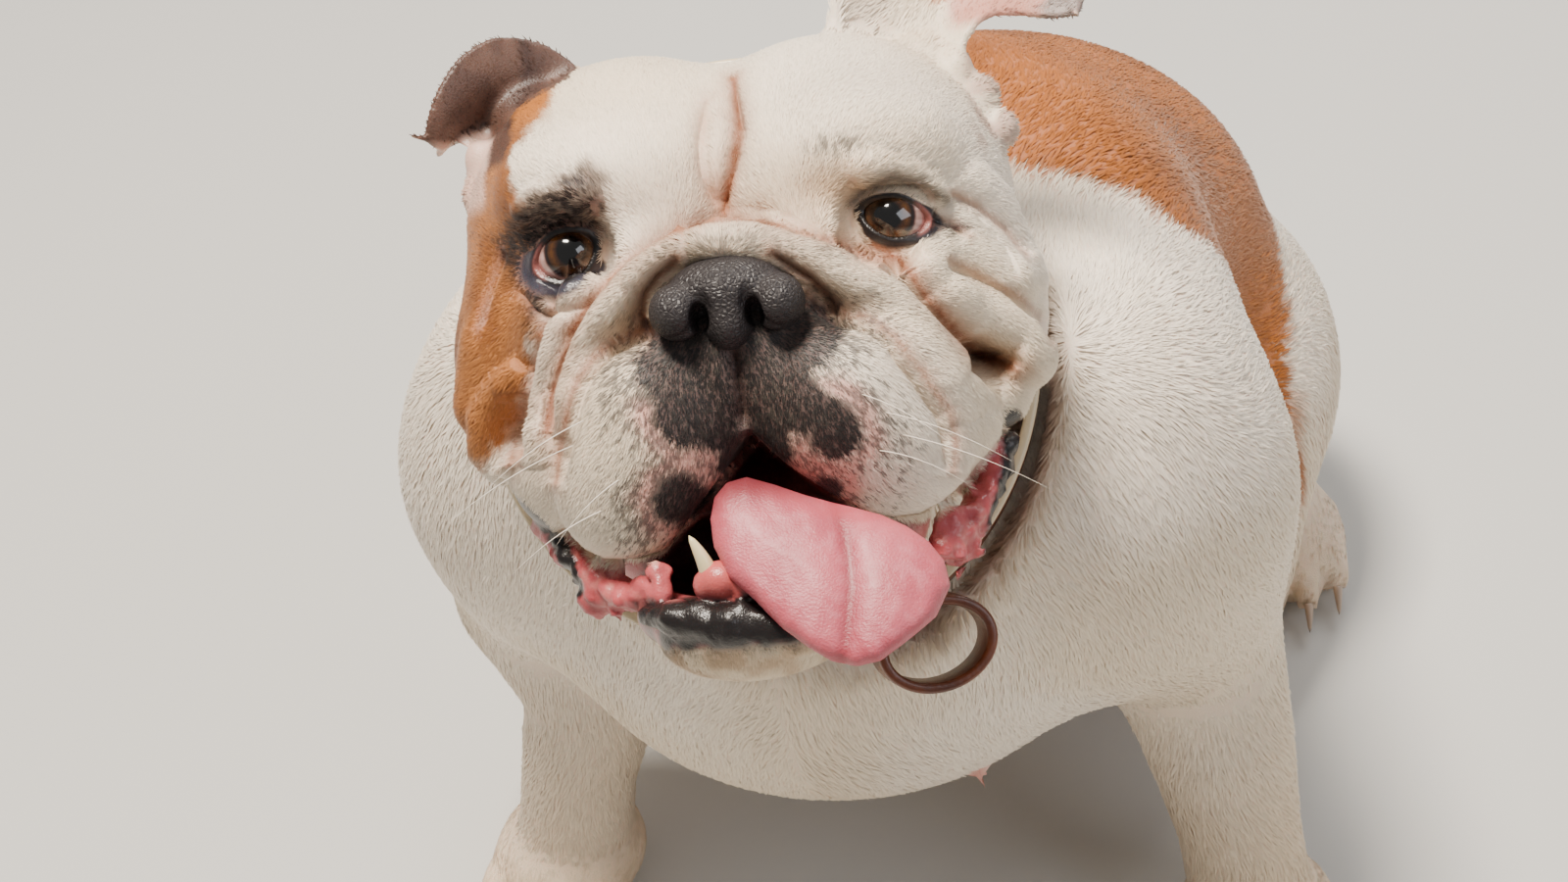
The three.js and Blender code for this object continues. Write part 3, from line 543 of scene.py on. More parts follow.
def jaw(q):
    mass = join(
        9,
        ball(q, (0, -6, -115), (42, 38, 18)),
        ball(q, (-3, -30, -121), (29, 23, 15)),
        ball(q, (0, 26, -92), (54, 40, 34)),
    )
    mass = carve(3, mass, ball(q, (3, -20, -98), (38, 32, 13)))
    front_lip = chain(q, (-34, -36, -112, 4), (-25, -45, -113, 6), (-8, -50, -116, 8),
                      (8, -50, -118.5, 8), (22, -45, -121, 6))
    front_lip = front_lip - 1.6 * (noise(q, 4.5, 61) - 0.5) - 0.9 * (noise(q, 1.9, 62) - 0.5)
    cheek_right = chain(q, (-70, 8, -82, 5), (-62, 0, -92, 6), (-53, -12, -101, 6), (-44, -24, -106, 6),
                        (-32, -34, -105, 5))
    folds_right = join(
        1.5, cheek_right, ball(q, (-50, -17, -104), (9, 6, 10), turned(-0.5)),
        chain(q, (-46, -22, -106, 4), (-45, -26, -115, 2.4)),
        chain(q, (-54, -14, -100, 4), (-56, -15, -105, 2.6)),
        chain(q, (-40, -28, -104, 3.5), (-39, -31, -110, 2.2)),
        chain(q, (-30, -35, -100, 4.5), (-28, -38, -107, 3.4)),
        chain(q, (-24, -39, -100, 3), (-22, -42, -105, 2.4)),
    )
    cheek_left = chain(q, (80, 10, -74, 5), (74, 2, -84, 6), (66, -8, -96, 6), (56, -20, -102, 5))
    folds_left = join(
        1.5, cheek_left, ball(q, (60, -15, -99), (9, 5, 11), turned(0.6)),
        chain(q, (61, -18, -104, 3.5), (61, -21, -114, 2.2)),
        chain(q, (66, -12, -102, 3.2), (67, -15, -110, 2)),
        chain(q, (55, -22, -103, 3.2), (55, -25, -108, 2)),
    )
    knobs = join(1.0, *[ball(q, at, (2.6, 2.6, 2.6)) for at in LIP_KNOBS])
    gum = join(2, ball(q, (-10, -48, -102.5), (7.5, 7, 6.5)), ball(q, (-3, -49, -105), (5, 5, 5)),
               ball(q, (-15.5, -47, -104), (4, 5, 5)))
    mass = join(3, mass, front_lip, gum)
    wrinkles = 3.2 * (noise(q, 4.2, 63) - 0.5) + 1.4 * (noise(q, 2.0, 64) - 0.5)
    return join(2, mass, folds_right - wrinkles, folds_left - wrinkles, knobs)


MOUTH_GAP = [(2, -62), (-5, -70), (-10, -77), (-15, -83), (-20, -89), (-26, -94), (-36, -96),
             (-46, -96), (-55, -92), (-60, -86), (-62, -100), (-40, -114), (-10, -118), (20, -118),
             (50, -110), (74, -92), (76, -74), (70, -79), (65, -84), (57, -89), (49, -92), (40, -92),
             (33, -90), (25, -85), (20, -80), (13, -74), (7, -68)]


def head(q):
    cavity = ball(q, (4, -6, -87), (46, 28, 15))
    lips = soft_min(skull_mass(q), flews(q), 5)
    philtrum = chain(q, (0.5, -48, -34, 0.9), (0.5, -50, -47, 1.4), (1, -48, -60, 2.4))
    gap = np.maximum(patch_distance(q, MOUTH_GAP), q[:, 1])
    mass = with_lids(q, carve(2.5, lips, philtrum, cavity))
    mass = carve(3.5, mass, gap)
    return soft_min(mass, jaw(q), 1.2)


print("the mouth gap has", len(MOUTH_GAP), "corners and the lips", len(LIP_KNOBS), "knobs")

# %% [markdown]
# ## Ears
# A bulldog has small rose ears: the right one folds forward and down, the left one is
# turned back and shows its pink cup. An ear is a thin sheet, so it is a curved grid of
# small balls whose radius is half the ear's thickness.

# %% Ear sheets


def ear_sheet(spine, half_widths, side, cup, thick, rows=44, columns=23):
    """A curved grid of points with normals, outward edges and half the ear's thickness."""
    spine = np.array(spine, float)
    t = np.linspace(0, 1, rows)
    knots = np.linspace(0, 1, len(spine))
    fit = [np.polyfit(knots, spine[:, i], min(4, len(spine) - 1)) for i in range(3)]
    middle = np.stack([np.polyval(f, t) for f in fit], 1)
    along = np.gradient(middle, axis=0)
    along /= np.linalg.norm(along, axis=1)[:, None]
    side = np.array(side, float)
    across = side - (along @ side)[:, None] * along
    across /= np.linalg.norm(across, axis=1)[:, None]
    out = np.cross(along, across)
    width = np.interp(t, np.linspace(0, 1, len(half_widths)), half_widths)
    u = np.linspace(-1, 1, columns)
    grid = middle[:, None] + across[:, None] * (u * width[:, None])[..., None]
    grid = grid + out[:, None] * (cup * u * u * width[:, None])[..., None]
    down, over = np.gradient(grid, axis=0), np.gradient(grid, axis=1)
    normal = np.cross(down, over)
    normal /= np.linalg.norm(normal, axis=2)[..., None]
    edge = np.zeros_like(grid)
    edge[:, 0], edge[:, -1] = -over[:, 0], over[:, -1]
    edge[-1] += down[-1]
    size = np.linalg.norm(edge, axis=2)[..., None]
    edge = np.where(size > 0, edge / np.maximum(size, 1e-6), 0)
    radius = np.broadcast_to(thick / 2 * (1 - 0.15 * u * u), grid.shape[:2])
    return [np.float32(a.reshape(rows * columns, -1)) for a in (grid, normal, edge, radius[..., None])]


EAR_RIGHT = ear_sheet(
    [(-52, 60, 50), (-60, 59, 57), (-69, 56, 59), (-79, 51, 57), (-88, 46, 51), (-96, 43, 43)],
    [8, 11, 14.5, 16.5, 15, 10.5, 4], (0.4, -0.35, 0.85), 0.35, 4.0,
)
EAR_LEFT = ear_sheet(
    [(54, 60, 50), (62, 62, 68), (76, 64, 81), (95, 63, 82), (110, 60, 75), (120, 57, 68)],
    [20, 22, 21, 19, 15, 10, 4], (-0.55, 0.12, 0.8), 0.42, 4.0,
)


def sheet_distance(q, sheet):
    points, normals, edges, radii = sheet
    low, high = points.min(0) - 14, points.max(0) + 14

    def distance(near):
        nearest = ((points**2).sum(1) - 2 * near @ points.T).argmin(1)
        away = near - points[nearest]
        off = (away * normals[nearest]).sum(1)
        beyond = np.maximum((away * edges[nearest]).sum(1), 0)
        return np.hypot(off, beyond) - radii[nearest, 0]

    return where(((q > low) & (q < high)).all(1), q, distance)


def ears(q, fine=True):
    """Both ears; on the coarse grid they are made thicker, so that no cell misses them."""
    knobs = [ball(q, (-83, 47, 36), (6, 6, 8)), ball(q, (-86, 46, 25), (4.5, 6, 5))]
    knobs += [ball(q, (84, 48, 39), (6, 6, 7)), ball(q, (90, 45, 27), (5, 6, 6))]
    knobs += [ball(q, (77, 48, 49), (5, 5, 6))]
    roots = [ball(q, (s * 66, 60, 49), (17, 14, 14)) for s in SIDES]
    parts = join(6, *roots, *knobs)
    for sheet in (EAR_RIGHT, EAR_LEFT):
        flap = sheet_distance(q, sheet)
        parts = soft_min(parts, flap if fine else flap - 2.5, 3)
    return parts


print("each ear sheet has", len(EAR_RIGHT[0]), "points")

# %% [markdown]
# ## One skin
# All masses are joined into one field and meshed on a grid, fine at the head and coarse
# over the trunk. Separate skins for head, legs and ears would leave seams. The field is
# only worked out near the surface, which saves most of the time. Then each vertex slides
# along the field's slope until it lies on the surface.

# %% The whole animal as one field
COAT_BODY, COAT_HEAD = 2.2, 1.0  # how deep the coat is, and how far the skin lies inside


def near_head(q):
    x, y, z = q.T
    return (np.abs(x) < 135) & (y > -85) & (y < 150) & (z > -160) & (z < 105)


def flesh(p, fine=True):
    """The skin's own surface: the flesh less the depth of the coat, and flat underneath."""
    p = p.astype(np.float32)
    q = to_head(p).astype(np.float32)
    field = where((q[:, 1] > 20) | (q[:, 2] < -98), p, body) + COAT_BODY
    close = np.nonzero(near_head(q))[0]
    if len(close):
        part = q[close]
        mass = head(part) + COAT_HEAD
        mass = soft_min(mass, ears(part, fine) + COAT_HEAD * 0.3, 4)
        field[close] = soft_min(field[close], mass, 5)
    return np.maximum(field, 0.6 - p[:, 2])


def meshed(field, axes, block=4):
    """Quads on the field's zero. Only blocks near the surface are looked at closely."""
    axes = [np.append(a, a[-1] + (a[-1] - a[-2]) * np.arange(1, -len(a) % block + 1)) for a in axes]
    counts = [len(a) // block for a in axes]
    starts = np.indices(counts).reshape(3, -1).T * block
    middles = np.stack([(a[i] + a[i + block - 1]) / 2 for a, i in zip(axes, starts.T)], 1)
    half = np.stack([(a[i + block - 1] - a[i]) / 2 for a, i in zip(axes, starts.T)], 1)
    rough = field(middles)
    cell = max(np.diff(a).max() for a in axes)
    values = np.empty([len(a) for a in axes], np.float32)
    blocks = values.reshape(counts[0], block, counts[1], block, counts[2], block)
    blocks[:] = (np.sign(rough) * 3 * cell).reshape(counts)[:, None, :, None, :, None]
    close = starts[np.abs(rough) < 1.35 * np.linalg.norm(half, axis=1) + 5]
    fine = np.indices((block,) * 3).reshape(3, -1).T
    for part in np.array_split(close, max(1, len(close) * block**3 // 100000)):
        index = (part[:, None] + fine[None]).reshape(-1, 3)
        values[tuple(index.T)] = field(np.stack([a[i] for a, i in zip(axes, index.T)], 1))
    grid = openvdb.FloatGrid()
    grid.copyFromArray(np.clip(values, -3 * cell, 3 * cell))
    points, quads = grid.convertToQuads()
    points = np.stack([np.interp(points[:, i], np.arange(len(a)), a) for i, a in enumerate(axes)], 1)
    first = points[quads[:, :3].astype(int)]
    volume = (first[:, 0] * np.cross(first[:, 1], first[:, 2])).sum()
    return points, quads if volume > 0 else quads[:, ::-1]


def steps_of(*stretches):
    """Grid lines along one axis, from (start, cell) pairs and a last end."""
    *parts, end = stretches
    ends = [start for start, _ in parts[1:]] + [end]
    return np.concatenate([np.arange(start, stop, cell) for (start, cell), stop in zip(parts, ends)])


def slide(points, field, steps=3, reach=0.25, limit=2.5):
    """Moves points along the field's slope until they lie on its zero."""
    for _ in range(steps):
        here = field(points)
        slope = np.stack([field(points + np.eye(3)[i] * reach) - here for i in range(3)], 1) / reach
        size = np.maximum((slope**2).sum(1), 0.25)
        move = -(here / size)[:, None] * slope
        far = np.linalg.norm(move, axis=1)
        points = points + move * np.minimum(1, limit / np.maximum(far, 1e-6))[:, None]
    return points


HEAD_CELL, BODY_CELL = 4.6, 8.4
skin_axes = (
    steps_of((-205, BODY_CELL), (-150, HEAD_CELL), (120, BODY_CELL), 205),
    steps_of((-205, HEAD_CELL), (52, BODY_CELL), 390),
    steps_of((-6, BODY_CELL), (285, HEAD_CELL), 455),
)
skin_points, skin_quads = meshed(lambda p: flesh(p, fine=False), skin_axes)
print("coarse skin:", len(skin_points), "vertices,", len(skin_quads), "quads")

# %% [markdown]
# ## A finer face
# A fine grid over the whole dog would take minutes. Instead the faces near the eyes,
# folds, mouth, ears and toes are cut in four, twice where it matters most, and only the
# new vertices are moved onto the surface. The rolls, creases and lid openings come last:
# they push each vertex along its normal, which keeps the mesh free of kinks.

# %% Divide the face and settle the skin


def mesh_from(points, faces):
    mesh = bpy.data.meshes.new("skin")
    mesh.from_pydata([tuple(v) for v in points], [], [tuple(int(i) for i in f) for f in faces])
    return mesh


def coordinates(mesh):
    flat = np.empty(len(mesh.vertices) * 3, np.float32)
    mesh.vertices.foreach_get("co", flat)
    return flat.reshape(-1, 3).astype(float)


def normals_of(mesh):
    flat = np.empty(len(mesh.vertices) * 3, np.float32)
    mesh.vertex_normals.foreach_get("vector", flat)
    return flat.reshape(-1, 3)


def place(mesh, points):
    mesh.vertices.foreach_set("co", points.astype(np.float32).ravel())
    mesh.update()


def divide(mesh, wanted):
    """Cuts in four each face whose corners are all wanted."""
    bm = bmesh.new()
    bm.from_mesh(mesh)
    bm.faces.ensure_lookup_table()
    edges = set()
    for face in bm.faces:
        if all(wanted[v.index] for v in face.verts):
            edges.update(face.edges)
    bmesh.ops.subdivide_edges(bm, edges=list(edges), cuts=1, use_grid_fill=True)
    bm.to_mesh(mesh)
    bm.free()


FACE_LINES = [points for points, _ in CREASES.values()]


def even(mesh, times):
    """Spreads the vertices evenly by moving each a little towards its neighbours' middle."""
    bm = bmesh.new()
    bm.from_mesh(mesh)
    for _ in range(times):
        bmesh.ops.smooth_vert(
            bm, verts=bm.verts, factor=0.4, use_axis_x=True, use_axis_y=True, use_axis_z=True
        )
    bm.to_mesh(mesh)
    bm.free()


def off_eyes(q):
    return np.hypot(np.abs(q[:, 0]) - EYE[0], q[:, 2])


def wants_face(p):
    """Which points lie on the face, ears and toes, where faces are cut in four once."""
    q = to_head(p)
    face = near_head(q) & (q[:, 1] < 34) & (q[:, 2] < 54)
    ear = near_head(q) & (np.abs(q[:, 0]) > 54) & (q[:, 2] > 18) & (q[:, 1] < 78)
    toes = (p[:, 2] < 34) & (p[:, 1] < 6)
    return face | ear | toes


def wants_folds(p):
    """Which points lie by a fold, the mouth, an eye or an ear's edge, for a second cut."""
    q = to_head(p)
    face = near_head(q) & (q[:, 1] < 26)
    mouth = (q[:, 2] < -62) & (np.abs(q[:, 0]) < 84) & (q[:, 2] > -124) & (q[:, 1] < -2)
    ear = near_head(q) & (np.abs(q[:, 0]) > 68) & (q[:, 2] > 22) & (q[:, 1] < 74)
    return face & ((line_distance(q, FACE_LINES) < 3.4) | mouth | (off_eyes(q) < 16)) | ear


def wants_lids(p):
    """Which points lie on a lid or in the bottom of a crease, for a third cut."""
    q = to_head(p)
    return near_head(q) & (q[:, 1] < 24) & ((off_eyes(q) < 13) | (line_distance(q, FACE_LINES) < 1.2))


skin_mesh = mesh_from(skin_points, skin_quads)
place(skin_mesh, slide(coordinates(skin_mesh), flesh, steps=4))
even(skin_mesh, 2)
place(skin_mesh, slide(coordinates(skin_mesh), flesh, steps=3))
for wants in (wants_face, wants_folds, wants_lids):
    known = len(skin_mesh.vertices)
    divide(skin_mesh, wants(coordinates(skin_mesh)))
    skin_points = coordinates(skin_mesh)
    skin_points[known:] = slide(skin_points[known:], flesh, steps=3, limit=1.2)
    place(skin_mesh, skin_points)
    print("divided to", len(skin_mesh.vertices), "vertices")
skin_normals = normals_of(skin_mesh)
skin_points = coordinates(skin_mesh)
skin_head = to_head(skin_points)
on_face = near_head(skin_head)
folds = relief(skin_head) * (off_eyes(skin_head) > EYE_RADIUS + 0.9)
rise = np.where(on_face, folds + lid_sink(skin_head), 0)
place(skin_mesh, skin_points + skin_normals * rise[:, None])
print("skin:", len(skin_mesh.vertices), "vertices,", len(skin_mesh.polygons), "faces")

# %% [markdown]
# ## Materials
# Colours are given as a paint shop would give them, as sRGB, and turned into the linear
# values the renderer works with. The coat has no picture behind it: each vertex of the
# skin and of each tuft carries the colour that the markings give to its place.

# %% Small helpers for materials and pieces


def linear(code, alpha=1.0):
    parts = [int(code[i : i + 2], 16) / 255 for i in (0, 2, 4)]
    bright = [c / 12.92 if c <= 0.04045 else ((c + 0.055) / 1.055) ** 2.4 for c in parts]
    return (*bright, alpha)


def material(name):
    made = bpy.data.materials.new(name)
    made.use_nodes = True
    return made, made.node_tree.nodes["Principled BSDF"]


def node(tree, kind, settings=None, **links):
    """Adds a node, sets its properties and inputs, and links sockets given as inputs."""
    made = tree.nodes.new(kind)
    for key, value in (settings or {}).items():
        setattr(made, key, value)
    for key, value in links.items():
        socket = made.inputs[key.replace("_", " ")]
        if isinstance(value, bpy.types.NodeSocket):
            tree.links.new(value, socket)
        else:
            socket.default_value = value
    return made


def set_inputs(shader, **values):
    for key, value in values.items():
        shader.inputs[key.replace("_", " ")].default_value = value


def bumped(made, shader, height, strength, distance):
    tree = made.node_tree
    bump = node(tree, "ShaderNodeBump", Height=height, Strength=strength, Distance=distance)
    tree.links.new(bump.outputs["Normal"], shader.inputs["Normal"])


def shown(name, mesh, look=None):
    piece = bpy.data.objects.new(name, mesh)
    bpy.context.scene.collection.objects.link(piece)
    if look:
        mesh.materials.append(look)
    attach(piece, "root")
    return piece


def smooth(mesh):
    mesh.polygons.foreach_set("use_smooth", np.ones(len(mesh.polygons), bool))
    mesh.update()


def painted(made, shader):
    """Takes the material's colour from the colours painted on the mesh."""
    colours = node(made.node_tree, "ShaderNodeAttribute", {"attribute_name": "coat"})
    made.node_tree.links.new(colours.outputs["Color"], shader.inputs["Base Color"])


def speckle(tree, scale, detail):
    """Noise that stays with the piece, as a socket; the scale is in steps to the metre."""
    at = node(tree, "ShaderNodeTexCoord").outputs["Object"]
    return node(tree, "ShaderNodeTexNoise", Vector=at, Scale=scale, Detail=detail).outputs["Fac"]


def give_values(mesh, name, values):
    """Keeps one number at each vertex, for a material to read."""
    layer = mesh.attributes.new(name, "FLOAT", "POINT")
    layer.data.foreach_set("value", np.asarray(values, np.float32))


def bridge(bm, ring, following):
    """Quads between two rings that have the same number of corners."""
    for k in range(len(ring)):
        m = (k + 1) % len(ring)
        bm.faces.new((ring[k], ring[m], following[m], following[k]))


def finished(bm, name):
    """Turns a bmesh into a smooth mesh with all its faces outwards."""
    bmesh.ops.recalc_face_normals(bm, faces=bm.faces)
    mesh = bpy.data.meshes.new(name)
    bm.to_mesh(mesh)
    bm.free()
    smooth(mesh)
    return mesh


print("a mid grey of 808080 is", round(linear("808080")[0], 3), "in linear light")

# %% [markdown]
# ## Markings
# The coat is white with a red saddle and a red patch over the right side of the face.
# The muzzle is black with a ragged edge and freckles around it, tears have stained the
# creases rust, painted shade darkens the bottoms of the deeper creases, and the lids and
# lips are bare black skin. One function gives the colour at any point of the skin, and also
# how much hair grows there.

# %% Colours and outlines
# Each outline was drawn from the front, in x and z of the head's frame
WHITE, CREAM, SHADE = "F5E8D6", "E9D7BA", "CFB48E"
RED, RED_DEEP, SADDLE, SADDLE_DEEP = "B06A26", "784016", "A8601E", "794110"
DARK, BLACK = "2E2320", "1E1A1A"
PINK, STAIN, GUM, LIP_PINK = "DDA092", "9C5E36", "C25A58", "B9565A"
TAUPE, EAR_FOLD_SHADE, EAR_PINK = "4E382F", "2A160E", "C27264"

MUZZLE_PATCH = [(-24, -27), (-27, -33), (-29, -40), (-25, -46), (-24, -52), (-22, -59), (-18, -63),
                (-13, -63), (-8, -66), (-11, -72), (-5, -72), (2, -63), (7, -67), (10, -73),
                (14, -69), (15, -63), (21, -62), (20, -67), (25, -70), (31, -70), (36, -66),
                (36, -59), (31, -53), (25, -50), (22, -45), (29, -42), (32, -38), (33, -33),
                (28, -27), (22, -23), (20, -14), (8, -8), (-8, -8), (-20, -15)]
SPOTS = [[(-28, -76), (-25, -72), (-20, -69), (-15, -72), (-11, -78), (-14, -85), (-20, -87),
          (-27, -82)],
         [(12, -75), (17, -78), (23, -75), (28, -77), (27, -82), (21, -85), (15, -81)]]
EYE_PATCH = [(-75, 7), (-69, 10), (-62, 16), (-55, 18), (-45, 22), (-41, 24), (-36, 20), (-36, 12),
             (-39, 5), (-43, -2), (-49, -9), (-55, -14), (-59, -18), (-64, -21), (-66, -11),
             (-69, -5)]
# where the red patch ends: z up the face, and x there
RED_EDGE = [(-72, -93), (-60, -84), (-52, -76), (-42, -69), (-32, -64), (-24, -61), (-11, -59),
            (8, -59), (20, -64), (31, -66), (42, -59), (58, -52), (72, -46), (90, -44)]
# how strongly tears and food have stained each crease
STAINED = {"middle_right": 0.75, "nose_top": 0.6, "outer_left": 0.8, "flew_right": 0.55,
           "nose_left": 0.5, "outer_right": 0.35, "forehead_right": 0.35, "forehead_left": 0.85,
           "flew_left": 0.3, "nose_right": 0.5, "hollow_left": 0.5, "hollow_right": 0.5}
print("the muzzle's patch has", len(MUZZLE_PATCH), "corners;", len(STAINED), "creases are stained")

# %% [markdown]
# ## From outlines to colours
# Each marking is a weight between 0 and 1 at every point, made from the distance to an
# outline and broken up by noise, so the patches get the ragged edge of real fur. A
# painted picture would give the same from the front only; this works from all sides.

# %% The markings


def mix(base, code, weight):
    weight = np.clip(weight, 0, 1)[:, None]
    return base * (1 - weight) + np.array(linear(code)[:3]) * weight


def face_looks(q, colour, hair):
    rough = (noise(q, 5, 3) - 0.5) * 6 + (noise(q, 1.6, 4) - 0.5) * 3
    front = ramp(-q[:, 1], -42, -30)
    x, y, z = q.T

    # the red patch over the right eye, cheek and ear root
    edge = np.interp(z, *np.array(RED_EDGE).T)
    red = ramp(edge - x + rough, -2.5, 3.5) * ramp(-y, -112, -96) * ramp(z + rough, -70, -58)
    red *= 1 - ramp(z, 74, 84)
    colour = mix(colour, RED, red * 0.95)
    colour = mix(colour, RED_DEEP, red * ramp(noise(q, 12, 5), 0.45, 0.8) * 0.5)

    # rust stains in the creases, painted shade in the bottoms of the deeper creases, tan fur at the
    # inner corners of the eyes
    for name, strength in STAINED.items():
        away = line_distance(q, [CREASES[name][0]]) + (noise(q, 4, 6) - 0.5) * 2
        spread = 0.75 * np.exp(-away / 1.6) + 0.45 * np.exp(-((away / 5.0) ** 2))
        colour = mix(colour, STAIN, front * strength * spread)
    # painted shade: brown 8A5B40 in the bottoms of the deeper creases
    deep_lines = [points for points, deep in CREASES.values() if deep > 1.5]
    crease_shade_away = line_distance(q, deep_lines) + (noise(q, 3, 17) - 0.5) * 0.8
    colour = mix(colour, "8A5B40", front * 0.6 * np.exp(-((crease_shade_away / 1.5) ** 2)))
    tan = np.exp(-(((x - 33) / 11) ** 2) - ((z - 9) / 8) ** 2)
    colour = mix(colour, "BF9565", front * 0.6 * tan)
    brow = np.exp(-(((x + 2) / 7) ** 2) - ((z - 12) / 9) ** 2)
    colour = mix(colour, STAIN, front * 0.5 * brow)

    # black muzzle with freckles, and the pink skin that shows between black and white
    patch = patch_distance(q, MUZZLE_PATCH) + rough * 0.45
    for spot in SPOTS:
        patch = np.minimum(patch, patch_distance(q, spot) + rough * 0.35)
    low_front = front * ramp(-y, -10, 0)
    blush = low_front * np.exp(-(((patch - 2.5) / 3.5) ** 2)) * ramp(-z, 42, 50)
    colour = mix(colour, PINK, blush * 0.85)
    hair = hair * (1 - 0.6 * blush)
    thin = np.clip(patch / 13, 0, 1.6) - 0.55 * ramp(noise(q, 10, 8), 0.35, 0.75)
    freckles = ramp(noise(q, 0.9, 7) - 0.30 * thin, 0.40, 0.56) * ramp(24 - patch, 0, 10) * low_front
    colour = mix(colour, "4A4340", freckles * 0.75 * ramp(-z, 16, 26))
    black = low_front * ramp(-patch, -0.9, 1.4)
    colour = mix(colour, "2A2625", black * (0.95 + 0.05 * ramp(noise(q, 0.8, 10), 0.3, 0.6)))
    fuzz = front * np.exp(-((x / 17) ** 2) - ((z + 5) / 4) ** 2)
    colour = mix(colour, "5A4A42", fuzz * 0.6 * ramp(noise(q, 0.9, 12), 0.3, 0.6))
    hair = hair * (1 - 0.35 * black)

    # dark hair round the right eye and a few dark hairs round the left
    around = patch_distance(q, EYE_PATCH) + rough * 0.6
    streaky = 0.55 + 0.45 * ramp(noise(q, 1.1, 16), 0.25, 0.6)
    colour = mix(colour, "6E4A30", front * ramp(-around, -5, 2) * 0.7)
    colour = mix(colour, DARK, front * ramp(-around, -2.0, 3.5) * streaky)
    lashes = line_distance(q, [[(38, 5), (43, 9), (51, 11.5), (60, 9), (67, 3)]])
    colour = mix(colour, DARK, front * np.exp(-((lashes / 2.0) ** 2)) * 0.75)
    corner = line_distance(q, [[(28, -6), (34, -9), (39, -10)], [(61, -5), (68, -7), (73, -4)],
                               [(30, 22), (40, 21)]])
    dots = ramp(noise(q, 1.4, 9), 0.42, 0.6)
    liner = line_distance(q, [[(61, -2), (67, -5), (73, -5)], [(-62, -2), (-68, -1), (-73, 2)]])
    colour = mix(colour, DARK, front * np.exp(-((liner / 1.5) ** 2)) * 0.85)
    colour = mix(colour, DARK, front * np.exp(-((corner / 3.2) ** 2)) * dots * 0.7)

    # bare lids
    for s in SIDES:
        opening = lid_opening(q, s)
        drop = ramp(-(z - 0.25 * s * (x - s * EYE[0])), -1, 3)
        wide = 1.3 + (2.6 if s < 0 else 0.9) * drop
        rim = ramp(-opening / wide, -1.25, -0.75) * (x * s > 0) * ramp(-y, -16, -12)
        colour = mix(colour, BLACK, rim)
        colour = mix(colour, "454350", rim * drop * ramp(opening, 0.5, 1.6) * (0.55 if s < 0 else 0.2))
        haw = rim * ramp(s * x, EYE[0] + 6.5, EYE[0] + 9.5) * ramp(-opening, -1.0, -0.2)
        colour = mix(colour, "A0605A", haw * 0.7)
        hair = hair * (1 - rim)
    return colour, hair


def mouth_looks(q, colour, hair):
    x, y, z = q.T
    rough = (noise(q, 4, 11) - 0.5) * 4
    floor_of_lip = np.interp(x, [-80, -66, -50, -40, -30, -14, 2, 19, 34, 50, 64, 80],
                             [-74, -84, -97, -98, -96, -82, -65, -80, -92, -96, -88, -68])
    inside = ramp(floor_of_lip - z, -1.5, 1.5) * (y > -60) * (y < 40) * (z > -122)
    near_mouth = (np.abs(x - 2) < 84) * 1.0
    wet = inside * near_mouth * ramp(-y, -34, -22)
    colour = mix(colour, LIP_PINK, wet)
    colour = mix(colour, "8E3138", wet * ramp(noise(q, 5, 19), 0.45, 0.8) * 0.6)
    colour = mix(colour, "D58C84", wet * ramp(noise(q, 3, 20), 0.55, 0.85) * 0.5)
    # painted shade: near-black red deep inside the open mouth, behind its front
    deep = wet * ramp(y, -34, -22) * ramp(46 - np.abs(x - 4), 0, 8)
    colour = mix(colour, "3A1512", deep)
    hair = hair * (1 - wet)
    # chin below the front lip: cream fur again
    chin = ramp(-z + rough * 0.3, 121, 124)
    colour = mix(colour, CREAM, chin * near_mouth * (y < 40))
    colour = mix(colour, "B08A62", chin * near_mouth * (y < 10) * ramp(noise(q, 6, 18), 0.3, 0.75) * 0.6)
    hair = np.maximum(hair, chin)
    # black front lip and knobbly black edges of the side flaps
    lip = (np.abs(x + 4) < 35) * ramp(-y, 30, 36) * ramp(-z + rough * 0.2, 106, 108.5)
    lip = lip * (1 - ramp(-z + rough, 121, 126))
    colour = mix(colour, BLACK, lip)
    hair = hair * (1 - lip)
    gum = np.exp(-(((x + 9) / 10) ** 2) - ((z + 102) / 7) ** 2) * (y < -38)
    colour = mix(colour, GUM, ramp(gum, 0.35, 0.6))
    tips = line_distance(q, [[(-76, -74), (-68, -82), (-62, -92), (-58, -104)]])
    tips = np.minimum(tips, line_distance(q, [[(82, -66), (80, -78), (77, -88), (73, -97), (71, -106)]]))
    edge = np.exp(-((tips / 3.4) ** 2)) * (y < 24)
    colour = mix(colour, BLACK, ramp(edge + rough * 0.04, 0.35, 0.6))
    return colour, hair * (1 - ramp(edge, 0.35, 0.6))


